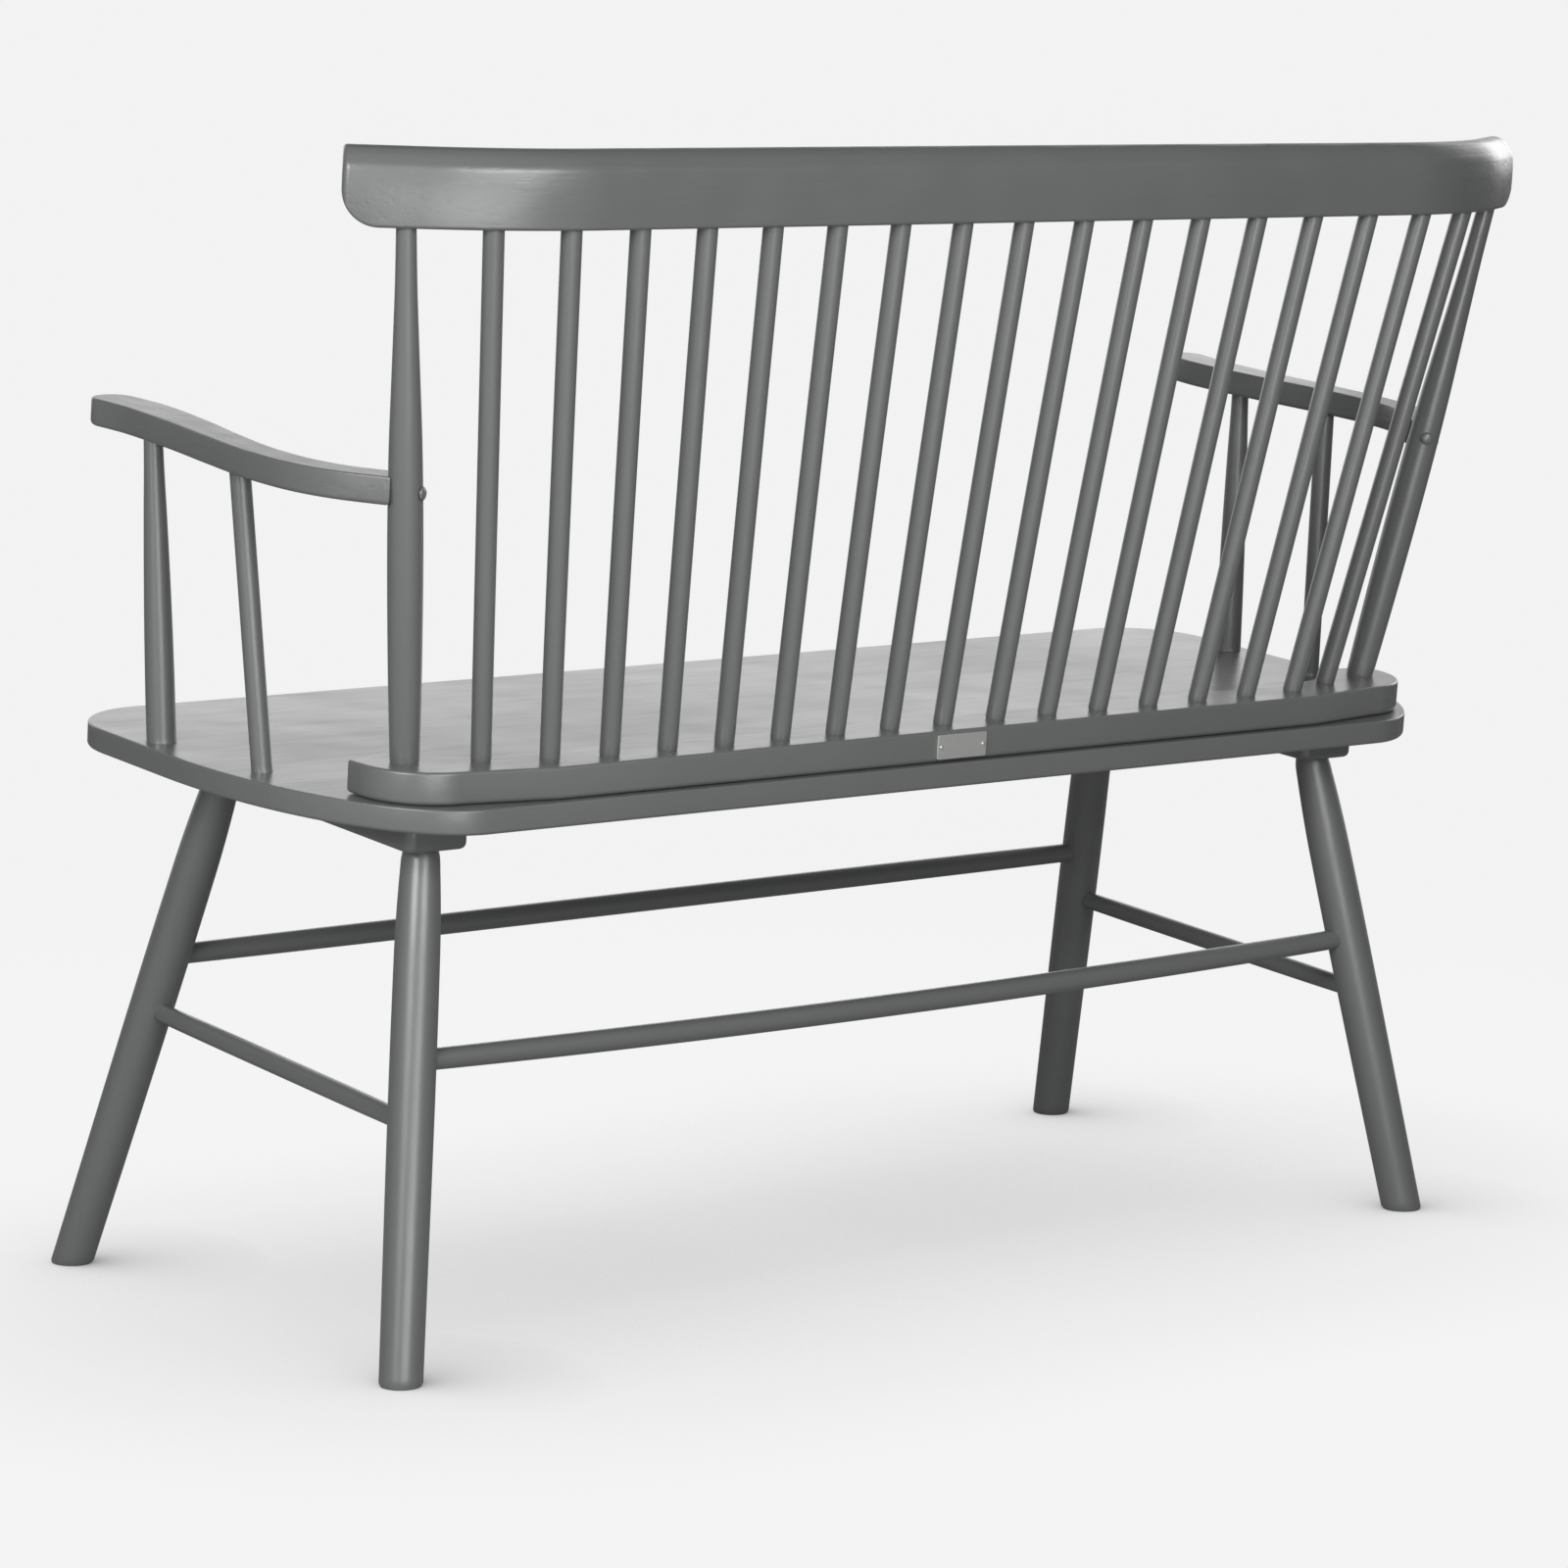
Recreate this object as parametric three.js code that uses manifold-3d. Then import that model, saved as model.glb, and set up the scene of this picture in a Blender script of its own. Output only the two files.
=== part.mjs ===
// A painted wooden deacons bench: a seat board on four splayed legs, a fan of round spindles
// between a curved rail and a bent crest, and two arms.
// Millimetres, +Z up, the sitter looks along -Y and the sitter's left hand is on +X.
import * as THREE from 'three';
import { mergeVertices } from 'three/addons/utils/BufferGeometryUtils.js';
import Module from 'manifold-3d';

const wasm = await Module();
wasm.setup();

// Seat board, in its own plane, and how it stands
const seatWidth = 1160;
const seatDepth = 438;
const seatThickness = 19.5;
const seatRearHeight = 436.5;
const seatTiltAngle = 4.4;
const seatFrontCorner = 72;
const seatRearCornerWidth = 124;
const seatRearCornerDepth = 268;
const seatEdgeRound = 2;

// Spindle rail, lying on the rear of the seat
const railHeight = 25.5;
const railWidth = 50;
const railLedge = 6.5;
const railPastPost = 34.3;
const railEndDepth = 84.5;
const railEndSlant = 9;
const railEndWidth = 38;
const railCornerRadius = 58;
const railSweep = 12.5;
const railSweepStart = 388;
const railEdgeRound = 2.5;

// The line of holes in the rail: straight, then turned forward near both ends
const railLineStraight = 366;
const railLineRadius = 70;
const railLineTurnAngle = 17;

// Crest rail: straight in the middle and bent forward at both ends
const crestHeight = 436;
const crestWidth = 58;
const crestThickness = 24;
const crestStraight = 407;
const crestRadius = 238;
const crestTurnAngle = 33.5;
const crestPastPost = 47.6;
const crestFallAngle = 2;
const crestCorner = 28;
const crestEdgeRound = 3;
const crestShoulderHeight = 16.5;
const crestShoulderDepth = 17;

// Back spindles and end posts
const backLeanAngle = 8.4;
const spindleCount = 17;
const spindleDiameter = 16;
const spindlePitchBelow = 54.5;
const spindlePitchAbove = 61.1;
const postPitchBelow = 59.8;
const postPitchAbove = 63.6;
const postDiameter = 26.8;
const socketDepth = 17;

// Arms
const armThickness = 21.8;
const armHeight = 225.8;
const armRiseAngle = 1.5;
const armWidth = 38;
const armBow = 33;
const armFrontInset = 18;
const armFrontDepth = 412;
const armNose = 17;
const armTurnAngle = 33;
const armHousing = 5;
const armEdgeRound = 3;

// Arm spindles, where they stand on the seat and where they meet the arms, in from the seat's ends
const frontArmSpindleFootInset = 22;
const frontArmSpindleFootDepth = 308.5;
const frontArmSpindleHeadInset = 15.5;
const frontArmSpindleHeadDepth = 324.5;
const frontArmSpindleDiameter = 23.4;
const rearArmSpindleFootInset = 37;
const rearArmSpindleFootDepth = 183.5;
const rearArmSpindleHeadInset = 21.5;
const rearArmSpindleHeadDepth = 206;
const rearArmSpindleDiameter = 16.3;
const armTenonDiameter = 12;
const armTenonLength = 12;

// Cleats and legs
const cleatWidth = 56;
const cleatInset = 121.5;
const cleatThickness = 26;
const cleatOverhang = 23.5;
const cleatEdgeRound = 5;
const cleatCorner = 8;
const legFrontInset = 118;
const legRearInset = 120.5;
const legFrontSetback = 68;
const legRearSetback = 86;
const legSideSplayAngle = 8.83;
const legEndSplayAngle = 13.7;
const legDiameter = 35.4;
const legNeckLength = 75;

// Stretchers, below the seat's top
const longStretcherDrop = 202.5;
const sideStretcherDrop = 248.5;
const longStretcherDiameter = 18;
const longStretcherEndDiameter = 16.5;
const sideStretcherDiameter = 16;
const sideStretcherEndDiameter = 14.5;
const stretcherSocket = 20;
const rearStretcherSag = 6.2;

// Hardware
const legBoltDiameter = 8;
const legBoltInCleat = 16;
const legBoltInLeg = 40;
const armBoltDiameter = 6;
const armBoltLength = 62;
const armBoltHeadDiameter = 10.6;
const armBoltHeadHeight = 2.4;
const barrelNutDiameter = 10;
const barrelNutLength = 13;
const barrelNutDistance = 42;
const screwDiameter = 4.5;
const screwHeadDiameter = 9;
const screwHeadHeight = 4;
const cleatScrewLength = 34;
const railScrewLength = 36;
const screwSink = 0.5;
const plateWidth = 50;
const plateHeight = 20;
const plateThickness = 1.2;
const plateCorner = 1.5;
const platePinDiameter = 2;
const platePinLength = 9;
const platePinHeadDiameter = 3.6;
const platePinHeadHeight = 0.9;
const platePinInset = 3.6;

// Clearance between pieces that meet, and how far a cutter runs past what it cuts
const fit = 0.3;
const overrun = 12;
const cutterSize = 1400;
const weldDistance = 0.001;

// Shares of a height and of a largest diameter for the turned pieces
const postShares = [
  [0, 0.85], [0.13, 0.93], [0.26, 0.98], [0.38, 1], [0.5, 0.98],
  [0.62, 0.91], [0.71, 0.81], [0.8, 0.71], [0.9, 0.61], [1, 0.56],
];
const armSpindleShares = [
  [0, 1], [0.2, 0.98], [0.42, 0.925], [0.58, 0.86], [0.76, 0.77], [0.92, 0.67], [1, 0.64],
];
const legNeckShares = [
  [0, 0.735], [0.07, 0.808], [0.27, 0.876], [0.47, 0.92], [0.67, 0.955], [1, 0.99], [1.3, 1],
];
const legFootShare = 0.955;

// The crest's rounded shoulder: shares of its height against shares of its depth
const crestShoulderShares = [[0, 0], [0.3, 0.12], [0.56, 0.28], [0.79, 0.5], [0.94, 0.76], [1, 1]];

// Shares of the arm's length against shares of its bow and of its width
const armBowShares = [
  [0, 0], [0.09, 0.66], [0.182, 0.97], [0.29, 1], [0.374, 0.9],
  [0.513, 0.6], [0.667, 0.24], [0.853, -0.06], [1, 0],
];
const armWaistShare = 0.76;
const armWidenShares = [0.35, 0.9];

// Places of screws, in spindle pitches along the rail and as shares of a cleat
const railScrewPitches = [-6.5, -2.5, 2.5, 6.5];
const cleatScrewShares = [0.34, 0.66];

// How finely round things are divided
const rodSides = 16;
const legSides = 20;
const smallSides = 10;
const cornerSteps = 10;
const roundSteps = 2;
const armSteps = 18;
const bendSteps = 8;
const sagSteps = 8;

// Materials
const paint = new THREE.MeshStandardMaterial({ color: 0x6b6e6b, roughness: 0.42, metalness: 0 });
const paintedSteel = new THREE.MeshStandardMaterial({ color: 0x666967, roughness: 0.35, metalness: 0.2 });
const zincSteel = new THREE.MeshStandardMaterial({ color: 0xa8abad, roughness: 0.35, metalness: 1 });
const plateMetal = new THREE.MeshStandardMaterial({ color: 0xb9bab6, roughness: 0.4, metalness: 1 });

const quarterTurn = Math.PI / 2;
const halfTurn = Math.PI;
const up = new THREE.Vector3(0, 0, 1);
const unitScale = new THREE.Vector3(1, 1, 1);
const angle = THREE.MathUtils.degToRad;
const lerp = THREE.MathUtils.lerp;
const sides = [{ name: 'left', sign: 1 }, { name: 'right', sign: -1 }];

// Heights above the seat's top, square to the seat
const railTop = fit + railHeight;
const cleatTop = -seatThickness - fit;
const cleatBottom = cleatTop - cleatThickness;
const railMiddle = -railLedge - railWidth / 2;
const crestMiddle = railMiddle + (crestHeight - railTop) * Math.tan(angle(backLeanAngle));

// Solids: making them from geometry and turning them back into geometry

function solid(geometry, place = new THREE.Matrix4()) {
  const bare = geometry.clone();
  bare.deleteAttribute('normal');
  bare.deleteAttribute('uv');
  const merged = mergeVertices(bare, weldDistance);
  const vertProperties = new Float32Array(merged.attributes.position.array);
  const triVerts = new Uint32Array(merged.index.array);
  const mesh = new wasm.Mesh({ numProp: 3, vertProperties, triVerts });
  return new wasm.Manifold(mesh).transform(place.elements);
}

function geometryOf(body) {
  const { vertProperties, triVerts } = body.getMesh();
  const geometry = new THREE.BufferGeometry();
  geometry.setAttribute('position', new THREE.BufferAttribute(new Float32Array(vertProperties), 3));
  geometry.setIndex(new THREE.BufferAttribute(new Uint32Array(triVerts), 1));
  geometry.computeVertexNormals();
  return geometry;
}

function minus(body, cutters) {
  return cutters.reduce((left, cutter) => left.subtract(cutter), body);
}

// A named mesh whose body is given in its own frame and put in its parent's frame by place
function piece(name, body, material, place = new THREE.Matrix4()) {
  const mesh = new THREE.Mesh(geometryOf(body), material);
  mesh.name = name;
  place.decompose(mesh.position, mesh.quaternion, mesh.scale);
  return mesh;
}

// Cuts a body that is given in its own frame with cutters given in the parent's frame
function cutInPlace(body, place, cutters) {
  return minus(body.transform(place.elements), cutters).transform(place.clone().invert().elements);
}

// The frame whose origin is at one point and whose Z axis runs to another
function stand(from, to) {
  const turn = new THREE.Quaternion().setFromUnitVectors(up, to.clone().sub(from).normalize());
  return new THREE.Matrix4().compose(from, turn, unitScale);
}

// A turned body from pairs of height and radius, its axis along Z
function turned(stations, count = rodSides) {
  const outline = stations.map(([height, radius]) => new THREE.Vector2(radius, height));
  const bottom = new THREE.Vector2(0, stations[0][0]);
  const top = new THREE.Vector2(0, stations.at(-1)[0]);
  return new THREE.LatheGeometry([bottom, ...outline, top], count).rotateX(quarterTurn);
}

function rod(radius, length, count = rodSides) {
  return turned([[0, radius], [length, radius]], count);
}

// A straight round cutter between two points
function bore(radius, from, to, count = rodSides) {
  return solid(rod(radius, from.distanceTo(to), count), stand(from, to));
}

// A flat board with rounded edges, standing on Z = 0
function board(outline, thickness, round, steps = cornerSteps) {
  const geometry = new THREE.ExtrudeGeometry(outline, {
    depth: thickness - 2 * round,
    curveSegments: steps,
    bevelSize: round,
    bevelThickness: round,
    bevelOffset: -round,
    bevelSegments: roundSteps,
  });
  return geometry.translate(0, 0, round);
}

function roundedRectangle(width, height, corner) {
  const x = width / 2 - corner;
  const y = height / 2 - corner;
  const outline = new THREE.Shape();
  outline.moveTo(-x, -height / 2);
  outline.absarc(x, -y, corner, -quarterTurn, 0);
  outline.absarc(x, y, corner, 0, quarterTurn);
  outline.absarc(-x, y, corner, quarterTurn, halfTurn);
  outline.absarc(-x, -y, corner, halfTurn, halfTurn + quarterTurn);
  return outline;
}

// A body through rings of points that all hold as many points, closed flat at both ends
function loft(rings) {
  const count = rings[0].length;
  const positions = rings.flat().flatMap((point) => point.toArray());
  const index = [];
  for (let ring = 0; ring < rings.length - 1; ring++) {
    for (let i = 0; i < count; i++) {
      const a = ring * count + i;
      const b = ring * count + (i + 1) % count;
      index.push(a, b, b + count, a, b + count, a + count);
    }
  }
  const last = (rings.length - 1) * count;
  for (let i = 1; i < count - 1; i++) {
    index.push(0, i + 1, i, last, last + i, last + i + 1);
  }
  const geometry = new THREE.BufferGeometry();
  geometry.setAttribute('position', new THREE.Float32BufferAttribute(positions, 3));
  geometry.setIndex(index);
  return geometry;
}

// Everything on one side of a level plane: above it or below it
function slab(height, direction) {
  const geometry = new THREE.BoxGeometry(cutterSize, cutterSize, cutterSize);
  return solid(geometry.translate(0, 0, height + direction * cutterSize / 2));
}

// A line that runs straight along X, turns forward round an arc and runs straight again
function bentLine(distance, straight, radius, turn) {
  const along = Math.abs(distance);
  const swept = THREE.MathUtils.clamp((along - straight) / radius, 0, angle(turn));
  const past = Math.max(0, along - straight - radius * angle(turn));
  const x = Math.min(along, straight) + radius * Math.sin(swept) + past * Math.cos(angle(turn));
  const y = -radius * (1 - Math.cos(swept)) - past * Math.sin(angle(turn));
  return { x: Math.sign(distance) * x, y, heading: Math.sign(distance) * swept };
}

// The crest's lower face falls a little forward against the seat
function crestBottomAt(y) {
  return crestHeight + (y - crestMiddle) * Math.tan(angle(crestFallAngle));
}

// Axes of the back's uprights, counted from the middle: places on the rail and under the crest
const lastSpindle = (spindleCount - 1) / 2;
const postPathBelow = lastSpindle * spindlePitchBelow + postPitchBelow;
const postPathAbove = lastSpindle * spindlePitchAbove + postPitchAbove;
const crestHalfPath = postPathAbove + crestPastPost;
const railHalfLength = railLinePoint(postPathBelow).x + railPastPost;

function railLinePoint(distance) {
  return bentLine(distance, railLineStraight, railLineRadius, railLineTurnAngle);
}

function crestLinePoint(distance) {
  return bentLine(distance, crestStraight, crestRadius, crestTurnAngle);
}

function uprightAxis(below, above) {
  const low = railLinePoint(below);
  const high = crestLinePoint(above);
  const foot = new THREE.Vector3(low.x, railMiddle + low.y, railTop);
  const head = new THREE.Vector3(high.x, crestMiddle + high.y, crestBottomAt(crestMiddle + high.y));
  return { foot, head };
}

function spindleAxis(number) {
  return uprightAxis(number * spindlePitchBelow, number * spindlePitchAbove);
}

function postAxis(sign) {
  return uprightAxis(sign * postPathBelow, sign * postPathAbove);
}

const spindleNumbers = Array.from({ length: spindleCount }, (_, i) => lastSpindle - i);
const spindleAxes = spindleNumbers.map(spindleAxis);
const postAxes = sides.map(({ sign }) => postAxis(sign));

// The point on an axis that lies so far beyond its foot, or beyond its head
function beyondFoot({ foot, head }, distance) {
  return foot.clone().add(foot.clone().sub(head).setLength(distance));
}

function beyondHead({ foot, head }, distance) {
  return head.clone().add(head.clone().sub(foot).setLength(distance));
}

// Turned outline of an upright that runs into a socket at both ends
function uprightStations({ foot, head }, shares, diameter, spread = 0) {
  const length = foot.distanceTo(head);
  const first = shares[0][1] * diameter / 2 + spread;
  const last = shares.at(-1)[1] * diameter / 2 + spread;
  const between = shares.map(([height, width]) => [
    socketDepth + height * length,
    width * diameter / 2 + spread,
  ]);
  return [[0, first], ...between, [2 * socketDepth + length, last]];
}

const straightShares = [[0, 1], [1, 1]];

function upright(name, axis, shares, diameter) {
  const body = solid(turned(uprightStations(axis, shares, diameter)));
  return piece(name, body, paint, stand(beyondFoot(axis, socketDepth), axis.head));
}

// Sockets for the uprights, at their feet and at their heads
function uprightSockets(end) {
  const socket = (axis, diameter) => {
    const radius = diameter / 2 + fit;
    return end === 'foot'
      ? bore(radius, beyondFoot(axis, socketDepth + fit), beyondFoot(axis, -overrun))
      : bore(radius, beyondHead(axis, -overrun), beyondHead(axis, socketDepth + fit));
  };
  const postShare = end === 'foot' ? postShares[0][1] : postShares.at(-1)[1];
  return [
    ...spindleAxes.map((axis) => socket(axis, spindleDiameter)),
    ...postAxes.map((axis) => socket(axis, postShare * postDiameter)),
  ];
}

// Screws: driven upwards, with a flat countersunk head

function screwStations(length, spread = 0) {
  const shank = screwDiameter / 2 + spread;
  const head = screwHeadDiameter / 2 + spread;
  return [[0, head], [screwHeadHeight, shank], [length + spread, shank]];
}

function screw(name, place, length) {
  return piece(name, solid(turned(screwStations(length), smallSides)), zincSteel, place);
}

function screwHole(place, length) {
  const sink = solid(rod(screwHeadDiameter / 2 + fit, overrun, smallSides).translate(0, 0, -overrun), place);
  return solid(turned(screwStations(length, fit), smallSides), place).add(sink);
}

const railScrewPlaces = railScrewPitches.map((pitches) => {
  const { x, y } = railLinePoint(pitches * spindlePitchBelow);
  return new THREE.Matrix4().makeTranslation(x, railMiddle + y, -seatThickness + screwSink);
});

const cleatFront = -seatDepth + legFrontSetback - cleatOverhang;
const cleatRear = -legRearSetback + cleatOverhang;
const cleatX = seatWidth / 2 - cleatInset;

const cleatScrewPlaces = sides.map(({ sign }) => cleatScrewShares.map((share) => {
  const y = lerp(cleatFront, cleatRear, share);
  return new THREE.Matrix4().makeTranslation(sign * cleatX, y, cleatBottom + screwSink);
}));

// Seat board

function seatOutline() {
  const half = seatWidth / 2;
  const frontX = half - seatFrontCorner;
  const frontY = -seatDepth + seatFrontCorner;
  const rearX = half - seatRearCornerWidth;
  const rearY = -seatRearCornerDepth;
  const outline = new THREE.Shape();
  outline.moveTo(-frontX, -seatDepth);
  outline.lineTo(frontX, -seatDepth);
  outline.absarc(frontX, frontY, seatFrontCorner, -quarterTurn, 0);
  outline.absellipse(rearX, rearY, seatRearCornerWidth, seatRearCornerDepth, 0, quarterTurn);
  outline.absellipse(-rearX, rearY, seatRearCornerWidth, seatRearCornerDepth, quarterTurn, halfTurn);
  outline.absarc(-frontX, frontY, seatFrontCorner, halfTurn, halfTurn + quarterTurn);
  return outline;
}

function seatPanel() {
  const blank = solid(board(seatOutline(), seatThickness, seatEdgeRound).translate(0, 0, -seatThickness));
  const holes = [
    ...armSpindles.map(({ axis }) => armTenonSocket(axis, 'foot')),
    ...railScrewPlaces.map((place) => screwHole(place, railScrewLength)),
    ...cleatScrewPlaces.flat().map((place) => screwHole(place, cleatScrewLength)),
  ];
  return piece('seat_panel', minus(blank, holes), paint);
}

// Spindle rail

function railOutline() {
  const rear = -railLedge;
  const inner = rear - railWidth;
  const cornerX = railHalfLength - railCornerRadius;
  const cornerY = rear - railSweep - railCornerRadius;
  const endY = rear - railEndDepth;
  const endInnerX = railHalfLength - railEndWidth;
  const endInnerY = endY - railEndSlant;
  const curveX = (railSweepStart + endInnerX) / 2;
  const outline = new THREE.Shape();
  outline.moveTo(-railSweepStart, inner);
  outline.lineTo(railSweepStart, inner);
  outline.quadraticCurveTo(curveX, inner, endInnerX, endInnerY);
  outline.lineTo(railHalfLength, endY);
  outline.absarc(cornerX, cornerY, railCornerRadius, 0, quarterTurn);
  outline.lineTo(railSweepStart, rear);
  outline.lineTo(-railSweepStart, rear);
  outline.absarc(-cornerX, cornerY, railCornerRadius, quarterTurn, halfTurn);
  outline.lineTo(-railHalfLength, endY);
  outline.lineTo(-endInnerX, endInnerY);
  outline.quadraticCurveTo(-curveX, inner, -railSweepStart, inner);
  return outline;
}

function spindleRail() {
  const blank = solid(board(railOutline(), railHeight, railEdgeRound).translate(0, 0, fit));
  const holes = [
    ...uprightSockets('foot'),
    ...railScrewPlaces.map((place) => screwHole(place, railScrewLength)),
    ...platePinPlaces.map((place) => platePinHole(place)),
  ];
  return piece('spindle_rail', minus(blank, holes), paint);
}

// Crest rail

// Half-round steps of a rounded edge, as shares of its radius: across and up
function edgeSteps(radius) {
  return Array.from({ length: roundSteps + 1 }, (_, i) => {
    const turn = quarterTurn * i / roundSteps;
    return [radius * (1 - Math.sin(turn)), radius * (1 - Math.cos(turn))];
  });
}

// The crest's section: pairs of distance behind its middle line and height
function crestSection(half, bottom, top) {
  const edge = edgeSteps(crestEdgeRound);
  const crease = Math.max(bottom + crestEdgeRound, top - crestShoulderHeight);
  const shoulder = crestShoulderShares.map(([rise, depth]) => [
    half - depth * crestShoulderDepth,
    lerp(crease, top, rise),
  ]);
  return [
    ...edge.map(([across, rise]) => [half - across, bottom + rise]),
    ...shoulder,
    ...edge.map(([across, rise]) => [-half + across, top - rise]),
    ...edge.slice().reverse().map(([across, rise]) => [-half + across, bottom + rise]),
  ];
}

// Distances along the crest where it gets a section, from the middle to one end
function crestDistances() {
  const bendEnd = crestStraight + crestRadius * angle(crestTurnAngle);
  const bend = Array.from({ length: bendSteps + 1 }, (_, i) => lerp(crestStraight, bendEnd, i / bendSteps))
    .filter((distance) => distance < crestHalfPath - crestCorner);
  const corner = Array.from({ length: cornerSteps + 1 }, (_, i) => (
    crestHalfPath - crestCorner * (1 - Math.sin(quarterTurn * i / cornerSteps))
  ));
  return [...bend, ...corner];
}

// How far a rounded corner has drawn in at a distance from the end
function cornerInset(radius, fromEnd) {
  const into = Math.max(0, radius - fromEnd);
  return radius - Math.sqrt(radius ** 2 - into ** 2);
}

function crestRing(distance) {
  const { x, y, heading } = crestLinePoint(distance);
  const fromEnd = crestHalfPath - Math.abs(distance);
  const edge = cornerInset(crestEdgeRound, fromEnd);
  const bottom = cornerInset(crestCorner, fromEnd);
  const base = crestBottomAt(crestMiddle + y);
  return crestSection(crestThickness / 2 - edge, bottom, crestWidth - edge).map(([behind, height]) => (
    new THREE.Vector3(
      x + behind * Math.sin(heading),
      crestMiddle + y + behind * Math.cos(heading),
      base + height,
    )
  ));
}

function crestRail() {
  const distances = crestDistances();
  const all = [...distances.slice().reverse().map((distance) => -distance), ...distances];
  const blank = solid(loft(all.map(crestRing)));
  return piece('crest_rail', minus(blank, uprightSockets('head')), paint);
}

// Arms: their underside is a plane that rises a little towards the front

const armPlane = new THREE.Matrix4().compose(
  new THREE.Vector3(0, 0, armHeight),
  new THREE.Quaternion().setFromEuler(new THREE.Euler(-angle(armRiseAngle), 0, 0)),
  unitScale,
);

// Where an upright's axis passes the middle of the arm's thickness, and the way the arm leaves it
function armRoot(sign, axis) {
  const level = armHeight + armThickness / 2;
  const share = (level - axis.foot.z) / (axis.head.z - axis.foot.z);
  const centre = axis.foot.clone().lerp(axis.head, share);
  const forward = new THREE.Vector3(sign * Math.sin(angle(armTurnAngle)), -Math.cos(angle(armTurnAngle)), 0);
  return { centre, forward };
}

const postRadius = postDiameter / 2;

// Middle line of an arm from the post to the front of its nose
function armMiddleLine(sign, { centre, forward }) {
  const start = centre.clone().addScaledVector(forward, postRadius - armHousing);
  const points = armBowShares.map(([along, bow]) => new THREE.Vector2(
    lerp(start.x, sign * (seatWidth / 2 - armFrontInset), along) + sign * bow * armBow,
    lerp(start.y, -armFrontDepth, along),
  ));
  return new THREE.SplineCurve(points);
}

function armHalfWidth(along) {
  const [narrow, wide] = armWidenShares;
  return armWidth / 2 * lerp(armWaistShare, 1, THREE.MathUtils.smoothstep(along, narrow, wide));
}

function armOutline(sign, root) {
  const line = armMiddleLine(sign, root);
  const noseStart = 1 - armNose / line.getLength();
  const edge = (side) => Array.from({ length: armSteps + 1 }, (_, i) => {
    const along = noseStart * i / armSteps;
    const point = line.getPointAt(along);
    const tangent = line.getTangentAt(along);
    const half = side * armHalfWidth(along);
    return new THREE.Vector2(point.x - tangent.y * half, point.y + tangent.x * half);
  });
  const tip = line.getPointAt(noseStart);
  const tangent = line.getTangentAt(noseStart);
  const half = armHalfWidth(noseStart);
  const nose = Array.from({ length: cornerSteps - 1 }, (_, i) => {
    const turn = halfTurn * (i + 1) / cornerSteps;
    const across = half * Math.cos(turn);
    const ahead = armNose * Math.sin(turn);
    const x = tip.x + tangent.x * ahead - tangent.y * across;
    const y = tip.y + tangent.y * ahead + tangent.x * across;
    return new THREE.Vector2(x, y);
  });
  return new THREE.Shape([...edge(1), ...nose, ...edge(-1).reverse()]);
}

function arm({ name, sign }, number) {
  const axis = postAxes[number];
  const blank = solid(board(armOutline(sign, armRoot(sign, axis)), armThickness, armEdgeRound), armPlane);
  const post = solid(
    turned(uprightStations(axis, postShares, postDiameter, fit)),
    stand(beyondFoot(axis, socketDepth), axis.head),
  );
  const own = armSpindles.filter((spindle) => spindle.sign === sign);
  const holes = [
    post,
    ...own.map((spindle) => armTenonSocket(spindle.axis, 'head')),
    armBoltHole(number),
    bore(barrelNutDiameter / 2 + fit, nutPoint(number, -overrun), nutPoint(number, barrelNutLength + fit)),
  ];
  const place = armPlane.clone().invert();
  return piece(`${name}_arm`, minus(blank, holes).transform(place.elements), paint, armPlane);
}

// Arm spindles, with a tenon at each end

function armAxis(sign, footInset, footDepth, headInset, headDepth) {
  const level = armHeight + headDepth * Math.tan(angle(armRiseAngle));
  return {
    foot: new THREE.Vector3(sign * (seatWidth / 2 - footInset), -footDepth, 0),
    head: new THREE.Vector3(sign * (seatWidth / 2 - headInset), -headDepth, level),
  };
}

const armSpindles = sides.flatMap(({ name, sign }) => [
  {
    name: `${name}_front_arm_spindle`,
    sign,
    axis: armAxis(
      sign,
      frontArmSpindleFootInset,
      frontArmSpindleFootDepth,
      frontArmSpindleHeadInset,
      frontArmSpindleHeadDepth,
    ),
    shares: armSpindleShares,
    diameter: frontArmSpindleDiameter,
  },
  {
    name: `${name}_rear_arm_spindle`,
    sign,
    axis: armAxis(
      sign,
      rearArmSpindleFootInset,
      rearArmSpindleFootDepth,
      rearArmSpindleHeadInset,
      rearArmSpindleHeadDepth,
    ),
    shares: straightShares,
    diameter: rearArmSpindleDiameter,
  },
]);

function armTenonSocket(axis, end) {
  const radius = armTenonDiameter / 2 + fit;
  return end === 'foot'
    ? bore(radius, beyondFoot(axis, armTenonLength + fit), beyondFoot(axis, -overrun))
    : bore(radius, beyondHead(axis, -overrun), beyondHead(axis, armTenonLength + fit));
}

function armSpindle({ name, axis, shares, diameter }) {
  const length = axis.foot.distanceTo(axis.head);
  const stations = shares.map(([height, width]) => [height * length, width * diameter / 2]);
  const first = [-overrun, stations[0][1]];
  const last = [length + overrun, stations.at(-1)[1]];
  const place = stand(axis.foot, axis.head);
  const underArm = solid(
    new THREE.BoxGeometry(cutterSize, cutterSize, cutterSize).translate(0, 0, cutterSize / 2 - fit),
    armPlane,
  );
  const shaft = cutInPlace(solid(turned([first, ...stations, last])), place, [slab(fit, -1), underArm]);
  const tenons = rod(armTenonDiameter / 2, length + 2 * armTenonLength).translate(0, 0, -armTenonLength);
  return piece(name, shaft.add(solid(tenons)), paint, place);
}

// Cleats: boards under the seat with rounded lower edges

function cleatPlace(sign) {
  return new THREE.Matrix4().makeTranslation(sign * cleatX, (cleatFront + cleatRear) / 2, cleatBottom);
}

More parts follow.
